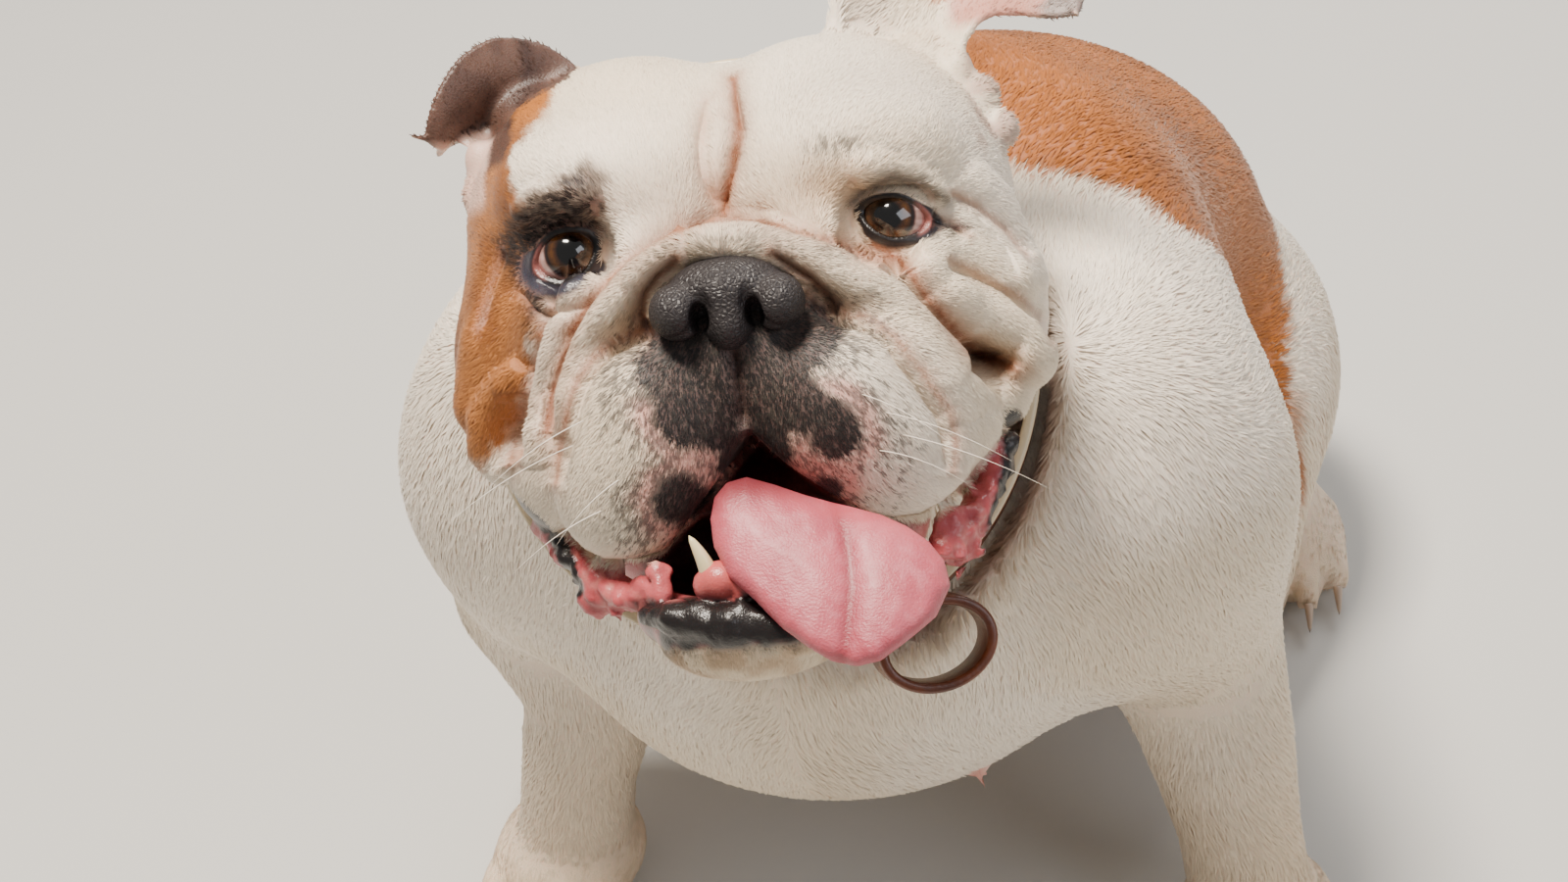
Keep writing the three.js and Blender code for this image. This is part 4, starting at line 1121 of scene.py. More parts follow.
def ear_looks(q, colour, hair):
    x, y, z = q.T
    rough = (noise(q, 5, 13) - 0.5) * 6
    colour = mix(colour, RED, ramp(-x + rough, 50, 56) * ramp(z, 40, 50) * (y < 84))
    upper = ramp(z - 0.3 * x - 4 * noise(q, 3, 27), 68, 72) * (x < -48)
    right = np.maximum(ramp(-x + rough * 0.5, 66, 71), upper) * ramp(z, 28, 34) * (y < 84)
    colour = mix(colour, TAUPE, right)
    # painted shade: near-black along the fold of the right ear
    fold = np.exp(-(((x + 66) / 6) ** 2)) * ramp(z, 40, 48)
    colour = mix(colour, EAR_FOLD_SHADE, right * fold)
    colour = mix(colour, "6B4F42", right * ramp(noise(q, 6, 28), 0.4, 0.8) * 0.6)
    knobs = ramp(-x, 76, 80) * (1 - ramp(z, 41, 45)) * ramp(z, 14, 22)
    colour = mix(colour, "E7C3B2", knobs * 0.85)
    tip = ramp(x + rough, 100, 108) * ramp(z, 44, 52)
    inner = ramp(x + rough * 0.6, 72, 80) * ramp(z, 60, 66)
    colour = mix(colour, EAR_PINK, inner * 0.8)
    colour = mix(colour, "8A7C76", tip * ramp(noise(q, 6, 14), 0.25, 0.5))
    knobs_left = ramp(x, 76, 82) * ramp(z, 16, 24) * (1 - ramp(z, 52, 58))
    colour = mix(colour, "A98778", knobs_left * ramp(noise(q, 5, 15), 0.35, 0.6) * 0.7)
    flaps = np.maximum(right, ramp(x, 66, 74) * ramp(z, 40, 50))
    return colour, hair * (1 - 0.8 * flaps) * (1 - 0.35 * np.maximum(knobs, knobs_left))


def looks(p):
    """Linear colour and amount of hair, 0 to 1, at points in the body's millimetres."""
    p = np.asarray(p, float)
    q = to_head(p)
    x, y, z = p.T
    colour = np.tile(np.array(linear(WHITE)[:3]), (len(p), 1))
    hair = np.ones(len(p))
    rough = (noise(p, 26, 21) - 0.5) * 24 + (noise(p, 7, 22) - 0.5) * 10
    colour = mix(colour, CREAM, ramp(noise(p, 60, 23), 0.35, 0.75) * 0.7)
    # painted shade: warmer and darker low on the body, towards the ground
    colour = mix(colour, SHADE, (1 - ramp(z, 60, 180)) * 0.45)

    on_body = q[:, 1] > 60
    front_edge = np.interp(z, [60, 100, 158, 246, 340, 420], [160, 136, 122, 100, 62, 50])
    saddle = ramp(y - front_edge + rough * 0.6, -4, 5) * ramp(z + rough * 0.5, 40, 70)
    outer = np.abs(x - RUMP_SHIFT)
    thigh = ball(p, (RUMP_SHIFT + 125, 240, 104), (70, 92, 92))
    thigh = np.minimum(thigh, ball(p, (RUMP_SHIFT - 125, 240, 104), (70, 92, 92)))
    white_thigh = ramp(-thigh + rough * 0.5, -3, 5) * ramp(outer, 84, 100)
    belly = (1 - ramp(z + rough * 0.4, 96, 116)) * (y < 200)
    saddle = saddle * (1 - white_thigh) * (1 - belly)
    colour = mix(colour, SADDLE, saddle * on_body)
    colour = mix(colour, SADDLE_DEEP, saddle * on_body * ramp(noise(p, 40, 24), 0.35, 0.8) * 0.45)

    close = np.nonzero(near_head(q) & (q[:, 1] < 118))[0]
    if len(close):
        part = q[close]
        c, h = colour[close], hair[close]
        of_head = (part[:, 1] < 100) & (part[:, 2] > -72) | (part[:, 1] < 30)
        face, face_hair = ear_looks(part, *face_looks(part, c, h))
        low = (part[:, 2] < -60) & (part[:, 1] < 40)
        mouth, mouth_hair = mouth_looks(part, face, face_hair)
        face, face_hair = np.where(low[:, None], mouth, face), np.where(low, mouth_hair, face_hair)
        colour[close] = np.where(of_head[:, None], face, c)
        hair[close] = np.where(of_head, face_hair, h)
    # the pink teat, bare skin under the collar and on the soles
    teat = 1 - ramp(np.linalg.norm(p - NIPPLE, axis=1), 8, 12)
    colour = mix(colour, PINK, teat)
    hair = hair * (1 - teat)
    under_collar = np.abs(to_neck(p)[:, 1]) < COLLAR_WIDTH / 2 - 0.5
    reach = np.hypot(to_neck(p)[:, 0] / NECK_OVAL[0], to_neck(p)[:, 2] / NECK_OVAL[1]) < 1.06
    hair[under_collar & reach] = 0
    hair[z < 4] = 0
    return colour, hair


print("hair on the tip of the tail:", looks([[RUMP_SHIFT - 16.0, 370.0, 22.0]])[1])

# %% [markdown]
# ## The skin's own piece
# The skin carries its colours as an attribute and an unwrap of its own shape, which the
# tufts use too. Fine noise in the bump stands for hair too small to model.

# %% Skin piece
def paint(mesh, name, colours):
    layer = mesh.color_attributes.new(name, "FLOAT_COLOR", "POINT")
    opaque = np.column_stack([colours, np.ones(len(colours))])
    layer.data.foreach_set("color", opaque.astype(np.float32).ravel())


skin_points = coordinates(skin_mesh)
skin_colour, skin_hair = looks(skin_points)
under = mix(skin_colour, PINK, 0.12 * skin_hair)
paint(skin_mesh, "coat", under)
give_values(skin_mesh, "bare", (1 - skin_hair) ** 3)
place(skin_mesh, to_model(skin_points))
smooth(skin_mesh)

# Skin under short hair: matt where hairy, wet gloss where bare, as on lips and lids
skin_look, shader = material("Skin, painted by its markings")
tree = skin_look.node_tree
painted(skin_look, shader)
bare_node = node(tree, "ShaderNodeAttribute", {"attribute_name": "bare"})
gloss = node(tree, "ShaderNodeMapRange", Value=bare_node.outputs["Fac"], To_Min=0.62, To_Max=0.28)
tree.links.new(gloss.outputs["Result"], shader.inputs["Roughness"])
# pores and fine hair, about 0.7 mm across
bumped(skin_look, shader, speckle(tree, 1400.0, 3.0), 0.35, 0.0006)
set_inputs(shader, Subsurface_Weight=0.12, Subsurface_Scale=0.004)
skin = shown("skin", skin_mesh, skin_look)
FLESH_NODES = ["torso", "neck", "tail", "head", "lower_jaw", "ear_left", "ear_right"]
LIMBS = ("fore_leg", "hind_leg", "fore_paw", "hind_paw")
FLESH_NODES += [f"{limb}_{side}" for limb in LIMBS for side in ("left", "right")]
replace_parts(skin, *FLESH_NODES)
bpy.context.view_layer.objects.active = skin
skin.select_set(True)
skin_mesh.uv_layers.new(name="OFBake")
bpy.ops.object.mode_set(mode="EDIT")
bpy.ops.mesh.select_all(action="SELECT")
bpy.ops.uv.smart_project(angle_limit=math.radians(66), island_margin=0.001)
bpy.ops.object.mode_set(mode="OBJECT")
skin_mesh = skin.data
print("skin is painted and unwrapped")

# %% [markdown]
# ## The coat
# A bulldog's coat is short, close and smooth. Each tuft is a thin blade that starts just
# under the skin, lies back along the body and lifts a little at its tip. The roots are
# strewn over the skin by area, thicker on the face where the hair is finer, and the lie
# of the hair is a field of directions: outwards from the nose over the head, backwards
# and down over the trunk, and straight down the legs.

# %% Where tufts grow
rng = np.random.default_rng(7)
skin_mesh.calc_loop_triangles()
tri_count = len(skin_mesh.loop_triangles)
corners = np.empty(tri_count * 3, np.int32)
loops = np.empty(tri_count * 3, np.int32)
skin_mesh.loop_triangles.foreach_get("vertices", corners)
skin_mesh.loop_triangles.foreach_get("loops", loops)
corners, loops = corners.reshape(-1, 3), loops.reshape(-1, 3)
unwrap = np.empty(len(skin_mesh.loops) * 2, np.float32)
skin_mesh.uv_layers["OFBake"].data.foreach_get("uv", unwrap)
unwrap = unwrap.reshape(-1, 2)
vertex_normals = normals_of(skin_mesh)
tri = skin_points[corners]
tri_area = np.linalg.norm(np.cross(tri[:, 1] - tri[:, 0], tri[:, 2] - tri[:, 0]), axis=1) / 2
tri_middle = tri.mean(1)
tri_hair = skin_hair[corners].mean(1)
tri_head = to_head(tri_middle)
TUFTS_HEAD, TUFTS_BODY = ((290000, 190000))
TUFTS_IN_PIECE = 64000  # three triangles each, so that a piece stays under 200,000
PATCH_HALF = 0.0015  # half the width of a tuft's own patch on the unwrap
ROOT_DEPTH = 0.25
print("skin to strew over, square centimetres:", round(tri_area.sum() / 100))


def lie_of(p, n):
    """The way the hair lies: a direction along the skin at each point with normal n."""
    q = to_head(p)
    on_head = near_head(q) & ((q[:, 1] < 60) | (q[:, 2] > -10) & (q[:, 1] < 90))
    radial = q - np.array([0, -42, -14])
    radial[:, 2] -= 0.35 * np.abs(radial[:, 0]) * (q[:, 2] < 0)
    head_way = radial @ HEAD_TURN.T
    s = np.sign(p[:, 0] - CHEST_SHIFT)
    legs_way = np.stack([0.1 * s, np.full(len(p), 0.05), -np.ones(len(p))], 1)
    trunk_way = np.tile([0.0, 0.78, -0.5], (len(p), 1))
    chest = ramp(-p[:, 1], -40, 40)[:, None]
    chest_way = np.stack([0.35 * s, np.full(len(p), 0.1), -np.ones(len(p))], 1)
    trunk_way = trunk_way * (1 - chest) + chest_way * chest
    low = ramp(-p[:, 2], -170, -120)[:, None]
    way = trunk_way * (1 - low) + legs_way * low
    toes = ramp(-p[:, 2], -44, -24)[:, None]
    way = way * (1 - toes) + np.array([0, -0.9, -0.35]) * toes
    way = np.where(on_head[:, None], head_way, way)
    swirl = (noise(p, 34, 31)[:, None] - 0.5) * 0.9
    way = way / np.linalg.norm(way, axis=1)[:, None]
    way = way + swirl * np.cross(n, way)
    way = way - (way * n).sum(1)[:, None] * n
    return way / np.maximum(np.linalg.norm(way, axis=1), 1e-6)[:, None]


def strewn(count, weight):
    """Roots at random over the skin, by area and weight, with normals and unwrap places."""
    total = np.cumsum(tri_area * weight)
    pick = np.searchsorted(total, rng.random(count) * total[-1])
    a, b = rng.random(count), rng.random(count)
    over = a + b > 1
    a[over], b[over] = 1 - a[over], 1 - b[over]
    share = np.stack([1 - a - b, a, b], 1)[..., None]
    root = (tri[pick] * share).sum(1)
    normal = (vertex_normals[corners[pick]] * share).sum(1)
    normal /= np.linalg.norm(normal, axis=1)[:, None]
    uv = (unwrap[loops[pick]] * share).sum(1)
    return root, normal, uv


def coat_piece(name, root, normal, uv, length, width, lift):
    """One mesh of tufts, each of four corners and a tip."""
    count = len(root)
    colour, hair = looks(root)
    lie = lie_of(root, normal)
    turn = rng.normal(0, 0.16, count)[:, None]
    lie = lie * np.cos(turn) + np.cross(normal, lie) * np.sin(turn)
    side = np.cross(normal, lie)
    long = (length * (0.7 + 0.6 * rng.random(count)) * (0.35 + 0.65 * hair))[:, None]
    wide = (width * (0.7 + 0.6 * rng.random(count)))[:, None] / 2
    high = lift * (0.6 + 0.8 * rng.random(count))[:, None] * long
    start = root - normal * ROOT_DEPTH
    middle = root + lie * long * 0.5 + normal * high * 0.75
    tip = root + lie * long + normal * high
    points = np.stack([start - side * wide, start + side * wide, middle - side * wide * 0.8,
                       middle + side * wide * 0.8, tip], 1).reshape(-1, 3)
    base = np.arange(count)[:, None] * 5
    faces = (base + np.array([0, 2, 3, 1, 2, 4, 3])).ravel().astype(np.int32)
    mesh = bpy.data.meshes.new(name)
    mesh.vertices.add(count * 5)
    mesh.loops.add(count * 7)
    mesh.polygons.add(count * 2)
    mesh.vertices.foreach_set("co", to_model(points).astype(np.float32).ravel())
    mesh.loops.foreach_set("vertex_index", faces)
    starts = (np.arange(count)[:, None] * 7 + np.array([0, 4])).ravel().astype(np.int32)
    mesh.polygons.foreach_set("loop_start", starts)
    mesh.update(calc_edges=True)
    smooth(mesh)
    tone = (0.94 + 0.12 * rng.random(count))[:, None, None]
    # painted shade at each tuft's root and painted light at its tip, as factors on its colour
    shade = np.array([0.88, 0.88, 0.99, 0.99, 1.03])[None, :, None]
    paint(mesh, "coat", np.clip(colour[:, None] * shade * tone, 0, 1).reshape(-1, 3))
    patch = np.array([(-1, -1), (1, -1), (-1, 0), (1, 0), (0, 1)]) * PATCH_HALF
    spread = (uv[:, None] + patch[None]).reshape(-1, 2)
    layer = mesh.uv_layers.new(name="OFBake")
    layer.data.foreach_set("uv", np.clip(spread, 0, 1)[faces].astype(np.float32).ravel())
    tilt = normal + 0.16 * side * rng.normal(0, 1, count)[:, None] + 0.12 * lie
    tilt /= np.linalg.norm(tilt, axis=1)[:, None]
    mesh.normals_split_custom_set_from_vertices(np.repeat(tilt, 5, 0).astype(np.float32))
    return shown(name, mesh, coat_look)


# Short dry guard hair with a faint satin sheen
coat_look, shader = material("Coat, short satin hair")
painted(coat_look, shader)
set_inputs(shader, Roughness=0.55, Specular_IOR_Level=0.35, Sheen_Weight=0.08, Sheen_Roughness=0.4)

of_head = near_head(tri_head) & (tri_head[:, 1] < 100) & ((tri_head[:, 2] > -80) | (tri_head[:, 1] < 30))
of_face = of_head & (tri_head[:, 1] < 36)
for region, weight, count, length, width, lift in (
    ("head", of_head * (1 + 1.6 * of_face), TUFTS_HEAD, 3.0, 0.38, 0.11),
    ("body", ~of_head * (1 + 0.6 * (tri_middle[:, 1] < 60)), TUFTS_BODY, 7.4, 0.95, 0.065),
):
    root, normal, uv = strewn(count, weight * tri_hair * (tri_hair > 0.15))
    order = np.argsort(root[:, 1])
    pieces = math.ceil(count / TUFTS_IN_PIECE)
    for number, chosen in enumerate(np.array_split(order, pieces), 1):
        size = np.ones(len(chosen))
        if region == "body":
            size -= 0.5 * ramp(-root[chosen, 2], -70, -20)
        else:
            near_nose = to_head(root[chosen])
            size += 1.0 * ramp(near_nose[:, 1], 22, 80)
            size *= 0.38 + 0.62 * ramp(line_distance(near_nose, FACE_LINES), 0, 4.5)
        coat_piece(f"coat_{region}_{number}", root[chosen], normal[chosen], uv[chosen],
                   length * size, width * size, lift)
    print("coat of the", region, ":", count, "tufts in", pieces, "pieces")

# %% [markdown]
# ## Eyes
# Each eye is a ball a little wider than a coin, with the clear bulge of the cornea over
# the iris. Colour depends only on the angle from the line of sight: black pupil, brown
# iris with an amber rim, dark edge, then the pink-stained white.

# %% Eyes
IRIS_RADIUS, CORNEA_RISE = 7.4, 0.7
GAZES = {1: (-0.13, -0.985, 0.03), -1: (0.15, -0.985, 0.06)}

# Wet eye: one coat of clear gloss over everything
eye_look, shader = material("Eye, wet brown iris")
tree = eye_look.node_tree
angle_node = node(tree, "ShaderNodeAttribute", {"attribute_name": "off_axis"})
fleck_node = node(tree, "ShaderNodeAttribute", {"attribute_name": "fleck"})
rings = node(tree, "ShaderNodeValToRGB", Fac=angle_node.outputs["Fac"])
RING_COLOURS = ((0.0, "030202"), (0.36, "050303"), (0.41, "2A160B"), (0.53, "50300F"), (0.61, "3E230D"),
                (0.66, "0E0806"), (0.71, "3A2220"), (0.77, "C9A49C"), (0.90, "C08A84"), (1.0, "9A5550"))
while len(rings.color_ramp.elements) < len(RING_COLOURS):
    rings.color_ramp.elements.new(0.5)
for stop, (place_at, code) in zip(rings.color_ramp.elements, RING_COLOURS):
    stop.position, stop.color = place_at, linear(code)
flecks = node(tree, "ShaderNodeMix", {"data_type": "RGBA", "blend_type": "MULTIPLY"})
tree.links.new(fleck_node.outputs["Fac"], flecks.inputs["Factor"])
tree.links.new(rings.outputs["Color"], flecks.inputs["A"])
flecks.inputs["B"].default_value = (0.45, 0.35, 0.3, 1)
tree.links.new(flecks.outputs["Result"], shader.inputs["Base Color"])
set_inputs(shader, Roughness=0.12, Coat_Weight=1.0, Coat_Roughness=0.02, Specular_IOR_Level=0.6)

for s, side in ((1, "left"), (-1, "right")):
    bm = bmesh.new()
    bmesh.ops.create_icosphere(bm, subdivisions=5, radius=EYE_RADIUS)
    mesh = finished(bm, f"eye_{side}")
    local = coordinates(mesh)
    gaze = np.array(GAZES[s]) / np.linalg.norm(GAZES[s])
    direction = local / EYE_RADIUS
    cosine = np.clip(direction @ gaze, -1, 1)
    off_axis = EYE_RADIUS * np.sqrt(1 - cosine**2)
    off_axis = np.where(cosine < 0, EYE_RADIUS, off_axis)
    rise = CORNEA_RISE * ramp(IRIS_RADIUS + 0.8 - off_axis, 0, IRIS_RADIUS)
    local = local + direction * rise[:, None]
    spread = np.cross(direction, gaze)
    spokes = np.arctan2(spread @ [0, 0, 1], spread @ [1, 0, 0])
    fleck = noise(np.stack([spokes * 9, off_axis * 0.25, 0 * spokes], 1) + 40, 1.0, 41)
    give_values(mesh, "off_axis", off_axis / EYE_RADIUS)
    give_values(mesh, "fleck", ramp(fleck, 0.3, 0.8) * 0.7)
    middle = np.array([s * EYE[0], EYE[1], EYE[2]])
    place(mesh, to_model(from_head(local + middle)))
    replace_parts(shown(f"eyeball_{side}", mesh, eye_look), f"eye_{side}")
print("two eyes")

# %% [markdown]
# ## Nose
# The nose leather is one pad with a swollen wing at each side. The nostrils curl round
# the wings like commas, and a groove runs down the middle. Its pebbled surface is bump.

# %% Nose


def nose_field(p):
    q = to_head(p)
    wings = [ball(q, (s * 15, -39, -23), (8.4, 10.5, 8.6)) for s in SIDES]
    pad = join(4, ball(q, (0, -34, -19), (18.5, 14, 11.5)), ball(q, (0, -37, -28), (7, 10, 8)))
    pad = join(1.5, pad, *wings)
    commas = [
        chain(q, (s * 8.9, -49.5, -13.5, 0.9), (s * 7.3, -48.5, -18, 2.0), (s * 6.8, -47, -23, 2.7),
              (s * 8.0, -46, -28, 3.0), (s * 11.5, -45.5, -31.5, 2.9), (s * 16, -44, -32.3, 2.3),
              (s * 21, -41, -30.5, 1.5))
        for s in SIDES
    ]
    pits = [ball(q, (s * 8.3, -43, -26), (3.0, 8, 5.2)) for s in SIDES]
    groove = chain(q, (0.5, -49.2, -17, 0.6), (0.5, -49.0, -30, 1.1), (0.5, -48, -42, 1.3))
    return carve(1.0, pad, *commas, *pits, groove)


def field_piece(name, field, low, high, cell, look, slot, *nodes):
    """Meshes a small field given in body millimetres over a box in the head's frame."""
    box = [[(low, high)[(i >> k) & 1][k] for k in range(3)] for i in range(8)]
    ends = from_head(np.array(box, float))
    axes = [np.arange(a - 2, b + 2, cell) for a, b in zip(ends.min(0), ends.max(0))]
    points, quads = meshed(field, axes)
    mesh = mesh_from(points, quads)
    place(mesh, slide(points, field, 2, 0.1, 0.6))
    place(mesh, to_model(coordinates(mesh)))
    smooth(mesh)
    piece = shown(name, mesh, look)
    if nodes:
        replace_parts(piece, *nodes)
    print(name, "has", len(mesh.polygons), "quads")
    return piece


# Nose leather: black, damp, pebbles under a millimetre across
nose_look, shader = material("Nose leather, damp black")
tree = nose_look.node_tree
place_node = node(tree, "ShaderNodeTexCoord")
pebbles = node(tree, "ShaderNodeTexVoronoi", {"feature": "DISTANCE_TO_EDGE"},
               Vector=place_node.outputs["Object"], Scale=720.0)
edges = node(tree, "ShaderNodeMapRange", Value=pebbles.outputs["Distance"], From_Max=0.3)
bumped(nose_look, shader, edges.outputs["Result"], 0.55, 0.0005)
set_inputs(shader, Base_Color=linear("2B2728"), Roughness=0.46, Specular_IOR_Level=0.4)
field_piece("nose_leather", nose_field, (-30, -56, -46), (30, -18, 0), 0.8,
            nose_look, "nose_black", "nose")

# %% [markdown]
# ## Tongue and tooth
# The tongue is a thick wet slab that lolls over the lip on the dog's left. A groove runs
# down it, and its margin curls. One lower canine stands in its bump of gum.

# %% Tongue
TONGUE_EDGE = [(-6, -75), (-10, -79), (-11.5, -85), (-11, -93), (-7, -102), (0, -109), (7, -117),
               (14, -123), (21, -128), (28, -130), (35, -129), (44, -124), (52, -119), (57, -111),
               (56, -104), (52, -98), (46, -93), (39, -89), (31, -86), (25, -84), (17, -81),
               (8, -77), (0, -74)]
TONGUE_CREASE = [(22, -76), (26, -86), (27.5, -92), (28.5, -99), (28.5, -108), (26.5, -118), (24, -128)]
TONGUE_HALF = 5.0


def tongue_field(p):
    """A slab inside an outline seen from the front, with a round margin and a bulging face."""
    q = to_head(p)
    x, y, z = q.T
    margin = patch_distance(q, TONGUE_EDGE)
    lean = -42 + 0.55 * (z + 84) + 0.004 * np.maximum(x - 24, 0) ** 2
    crown = 5.5 * (1 - np.exp(np.minimum(margin, 0) / 9))
    away, share = line_reach(q, TONGUE_CREASE)
    crown -= 2.2 * np.exp(-((away / 6.0) ** 2)) + 0.9 * np.exp(-((away / 2.4) ** 2))
    crown += 0.35 * np.sin(x * 0.8 + 1.5 * np.sin(z * 0.3)) * np.exp(np.minimum(margin, 0) / 7)
    off = np.abs(y - lean) - crown * (y < lean)
    slab = (np.hypot(np.maximum(margin + TONGUE_HALF, 0), np.maximum(off, 0)) - TONGUE_HALF) * 0.8
    return soft_min(slab, ball(q, (12, -22, -97), (24, 24, 8)), 6)


# Wet tongue with fine papillae, painted shade in its groove and at its top, where it goes into the
# mouth, and painted redder towards its margin
tongue_look, shader = material("Tongue, wet pink")
painted(tongue_look, shader)
bumped(tongue_look, shader, speckle(tongue_look.node_tree, 1300.0, 2.0), 0.45, 0.0006)
set_inputs(shader, Roughness=0.46, Coat_Weight=0.06, Coat_Roughness=0.2)
set_inputs(shader, Subsurface_Weight=0.1, Subsurface_Scale=0.003)
tongue = field_piece("tongue_slab", tongue_field, (-24, -84, -138), (66, 4, -66), 1.25,
                     tongue_look, "tongue_pink", "tongue")
on_tongue = to_head(coordinates(tongue.data) / MM - SHIFT)
tint = np.tile(np.array(linear("BA5764")[:3]), (len(on_tongue), 1))
tint = mix(tint, "A33F4E", ramp(noise(on_tongue, 9, 51), 0.35, 0.75) * 0.5)
tint = mix(tint, "CB7A84", ramp(noise(on_tongue, 2.2, 52), 0.45, 0.8) * 0.35)
# painted shade: dark red along the groove
tint = mix(tint, "8E2F3C", np.exp(-((line_reach(on_tongue, TONGUE_CREASE)[0] / 1.9) ** 2)) * 0.9)
tint = mix(tint, "BE5560", ramp(patch_distance(on_tongue, TONGUE_EDGE), -6, -1) * 0.6)
# painted shade: darker at the tongue's top, where it goes into the mouth under the lips
tint = mix(tint, "5A1A20", ramp(on_tongue[:, 2], -86, -74) * 0.8)
paint(tongue.data, "coat", tint)

# %% [markdown]
# ## Tooth and claws
# Both are horns that taper to a blunt point and bend a little. One function builds them:
# rings of points that shrink along a curved line, closed at the tip.

# %% Tooth and claws


def horn(name, base, tip, bend, radius, look, sides=14, rings=12, flat=1.0):
    """A closed horn from base to tip; bend moves its middle sideways."""
    base, tip, bend = (np.array(v, float) for v in (base, tip, bend))
    axis = (tip - base) / np.linalg.norm(tip - base)
    across = np.cross(axis, bend if np.linalg.norm(bend) else [0, 0, 1])
    across /= np.linalg.norm(across)
    other = np.cross(axis, across)
    bm = bmesh.new()
    turns = np.linspace(0, 2 * math.pi, sides, endpoint=False)
    loops_made = []
    for t in np.linspace(0, 1, rings)[:-1]:
        size = radius * math.sqrt(1 - t**2.2) * (1 - 0.35 * t)
        centre = base + (tip - base) * t + bend * math.sin(math.pi * t)
        ring = [centre + size * (math.cos(a) * across * flat + math.sin(a) * other) for a in turns]
        loops_made.append([bm.verts.new(to_model(v)) for v in ring])
    for low_ring, high_ring in zip(loops_made, loops_made[1:]):
        bridge(bm, low_ring, high_ring)
    last, end = loops_made[-1], bm.verts.new(to_model(tip))
    for corner, following in zip(last, last[1:] + last[:1]):
        bm.faces.new((corner, following, end))
    bm.faces.new(loops_made[0][::-1])
    return shown(name, finished(bm, name), look)


# Enamel, warm and glossy
tooth_look, shader = material("Tooth enamel, ivory")
set_inputs(shader, Base_Color=linear("E6D6A8"), Roughness=0.22)
set_inputs(shader, Subsurface_Weight=0.15, Subsurface_Scale=0.002)
tooth_base, tooth_tip = from_head(np.array([[-12.2, -46, -106], [-17.5, -51.5, -88.5]]))
tooth_bend = HEAD_TURN @ np.array([0.9, -0.6, 0])
tooth = horn("lower_canine", tooth_base, tooth_tip, tooth_bend, 3.3, tooth_look)
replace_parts(tooth, "canine_tooth")

# Horn of the claws, grey-brown
claw_look, shader = material("Claw horn, grey brown")
set_inputs(shader, Base_Color=linear("B09A88"), Roughness=0.4)
for kind, s, at, heading in PAW_PLACES:
    length, width, height = PAW_SIZES[kind]
    turn = turned(heading).astype(float)
    for number, spot in enumerate(TOE_PLACES, 1):
        x, y = spot * width * TOE_SPACING, -length * toe_ahead(spot)
        root = np.array([x, y - length * 0.17, 14.0])
        tip = np.array([x * 1.02, y - length * 0.25 - 4.0, 4.8])
        root, tip = (turn @ v + [at[0], at[1], 0] for v in (root, tip))
        side = "left" if s > 0 else "right"
        horn(f"claw_{kind}_{side}_{number}", root, tip, (0, 0, 1.6), 3.0, claw_look,
             sides=10, rings=8, flat=0.75)
print("one tooth and sixteen claws")

# %% [markdown]
# ## Collar
# A strap of brown leather round the neck, with its end standing out in a loop. Both are
# a rectangular section with rounded edges, carried round an oval.

# %% Collar and loop


def strap(name, radii, thickness, width, to_body, look, raw_edge, segments=160,
          node_name=None):
    """A closed strap round an oval; raw_edge 1 leaves its cut edges pale."""
    half, round_by = width / 2, min(1.3, thickness * 0.35)
    section = []
    for cx, cy, start in ((1, 1, 0), (0, 1, 90), (0, -1, 180), (1, -1, 270)):
        for step in range(4):
            a = math.radians(start + step * 30)
            r = round_by * math.cos(a) + (thickness - round_by if cx else round_by)
            y = round_by * math.sin(a) + cy * (half - round_by)
            section.append((r, y))
    bm = bmesh.new()
    rings = []
    for i in range(segments):
        a = 2 * math.pi * i / segments
        ring = [((radii[0] + r) * math.cos(a), y, (radii[1] + r) * math.sin(a)) for r, y in section]
        rings.append([bm.verts.new(to_model(to_body(np.array(v)))) for v in ring])
    for ring, following in zip(rings, rings[1:] + rings[:1]):
        bridge(bm, ring, following)
    mesh = finished(bm, name)
    cut = [raw_edge * (abs(y) > half - 0.7) for _, y in section]
    give_values(mesh, "cut", np.tile(cut, segments))
    piece = shown(name, mesh, look)
    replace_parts(piece, node_name)
    return piece


# Oiled saddle leather with pores, and pale raw leather on the collar's cut edges
leather_look, shader = material("Leather, oiled chestnut")
tree = leather_look.node_tree
# mottled in patches of about 16 mm
browns = node(tree, "ShaderNodeValToRGB", Fac=speckle(tree, 60.0, 3.0))
for stop, place_at, code in zip(browns.color_ramp.elements, (0.35, 0.7), ("4A2110", "7A3D1C")):
    stop.position, stop.color = place_at, linear(code)
cut_node = node(tree, "ShaderNodeAttribute", {"attribute_name": "cut"})
raw = node(tree, "ShaderNodeMix", {"data_type": "RGBA"})
tree.links.new(cut_node.outputs["Fac"], raw.inputs["Factor"])
tree.links.new(browns.outputs["Color"], raw.inputs["A"])
raw.inputs["B"].default_value = linear("D8C6A4")
tree.links.new(raw.outputs["Result"], shader.inputs["Base Color"])
# pores about 1 mm apart
bumped(leather_look, shader, speckle(tree, 900.0, 4.0), 0.3, 0.0005)
set_inputs(shader, Roughness=0.36, Coat_Weight=0.25, Coat_Roughness=0.25)
strap("collar_strap", NECK_OVAL, 4.0, COLLAR_WIDTH, lambda v: NECK_TURN @ v + NECK_MIDDLE, leather_look,
      1.0, node_name="collar")
LOOP_AT = [44.2, -96.3, 263.2]
loop_turn = turned(0.5, -0.67).astype(float)
strap("strap_end_loop", (17.0, 12.5), 3.5, 17.0, lambda v: loop_turn @ v + LOOP_AT, leather_look,
      0.0, segments=72, node_name="collar_loop")
print("collar and strap loop")

# %% [markdown]
# ## Whiskers
# A few long pale whiskers stand in rows on each flew. They are thin tapering tubes that
# bend outwards and down.

# %% Whiskers
# x and z of each root, and the length
WHISKERS = [(-46, -52, 36), (-50, -59, 44), (-36, -70, 26), (-43, -79, 32), (37, -53, 34),
            (43, -59, 44), (47, -66, 48), (40, -70, 30)]
WHISKER_TURNS = np.linspace(0, 2 * math.pi, 5, endpoint=False)


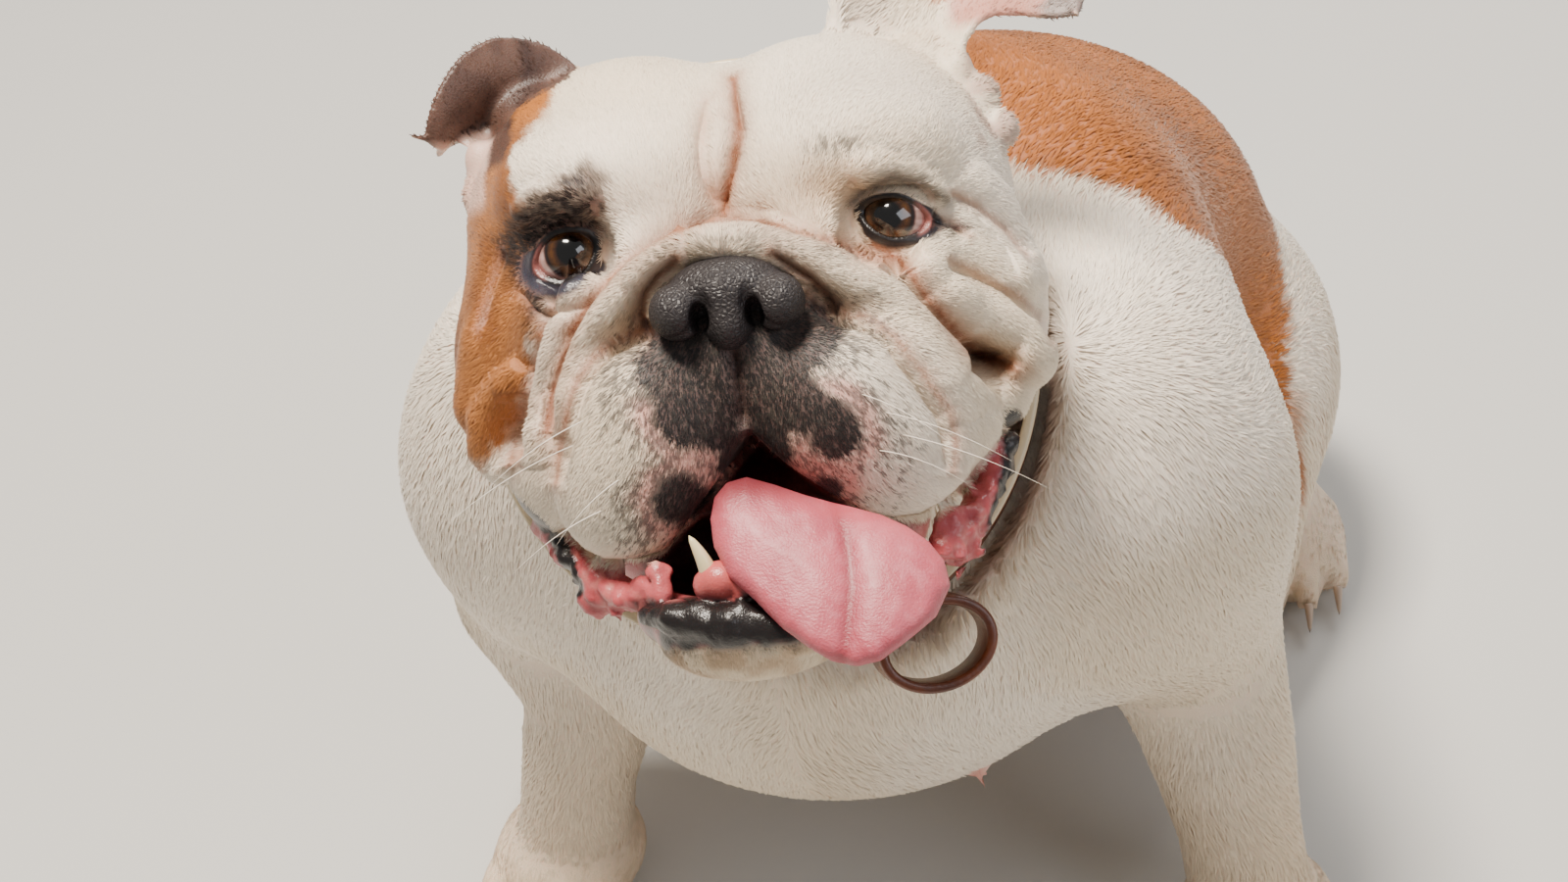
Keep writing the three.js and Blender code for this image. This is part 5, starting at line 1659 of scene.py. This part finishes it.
def whiskers():
    bm = bmesh.new()
    depth = face_depth([(x, z) for x, z, _ in WHISKERS])
    for (x, z, long), y in zip(WHISKERS, depth):
        sideways = np.sign(x) * (0.8 + 0.25 * rng.random())
        out = np.array([sideways, -0.42 - 0.3 * rng.random(), -0.15 - 0.3 * rng.random()])
        out /= np.linalg.norm(out)
        rings = []
        for t in np.linspace(0, 1, 12):
            centre = np.array([x, y + 1, z]) + out * long * t + np.array([0, 5.5, -7.5]) * t * t
            size = 0.17 * (1 - t) + 0.03
            across = np.cross(out, [0, 0, 1])
            across /= np.linalg.norm(across)
            other = np.cross(out, across)
            spokes = [math.cos(a) * across + math.sin(a) * other for a in WHISKER_TURNS]
            rings.append([bm.verts.new(to_model(from_head(centre + size * v))) for v in spokes])
        for ring, following in zip(rings, rings[1:]):
            bridge(bm, ring, following)
        bm.faces.new(rings[0][::-1])
        bm.faces.new(rings[-1])
    return finished(bm, "whiskers")


whisker_look, shader = material("Whisker, pale bristle")
set_inputs(shader, Base_Color=linear("F2E8D8"), Roughness=0.35)
shown("whiskers", whiskers(), whisker_look)
print(len(WHISKERS), "whiskers")

# %% [markdown]
# ## Room and light
# A plain pale floor, one large soft lamp high in front and a bright even surround, like
# a studio for a museum catalogue.

# %% Floor, lamps and surround
floor_mesh = bpy.data.meshes.new("floor")
FLOOR_HALF = 6.0
floor_corners = [(FLOOR_HALF * x, FLOOR_HALF * y, 0) for x, y in ((-1, -1), (1, -1), (1, 1), (-1, 1))]
floor_mesh.from_pydata(floor_corners, [], [(0, 1, 2, 3)])
floor = bpy.data.objects.new("floor", floor_mesh)
bpy.context.scene.collection.objects.link(floor)
floor_look, shader = material("Floor, matt pale grey")
set_inputs(shader, Base_Color=linear("C9C8C4"), Roughness=0.8)
floor_mesh.materials.append(floor_look)


def lamp(name, at, target, size, power, tint="FFFFFF"):
    data = bpy.data.lights.new(name, "AREA")
    data.shape, data.size, data.energy = "SQUARE", size, power
    data.color = linear(tint)[:3]
    made = bpy.data.objects.new(name, data)
    bpy.context.scene.collection.objects.link(made)
    made.location = at
    made.rotation_euler = (Vector(target) - Vector(at)).to_track_quat("-Z", "Y").to_euler()


lamp("key", (-0.4, -0.05, 2.4), (0, -0.1, 0.3), 0.6, 125, "FFF4E6")
lamp("fill", (1.8, -0.8, 1.5), (0, 0, 0.2), 1.2, 14, "F6F8FF")
lamp("rim", (0.6, 1.7, 1.8), (0, 0, 0.3), 1.0, 22, "FFFFFF")
world = bpy.data.worlds.new("surround")
world.use_nodes = True
world.node_tree.nodes["Background"].inputs["Color"].default_value = linear("EDECEA")
world.node_tree.nodes["Background"].inputs["Strength"].default_value = 0.31
bpy.context.scene.world = world
print("floor, three lamps and an even surround")
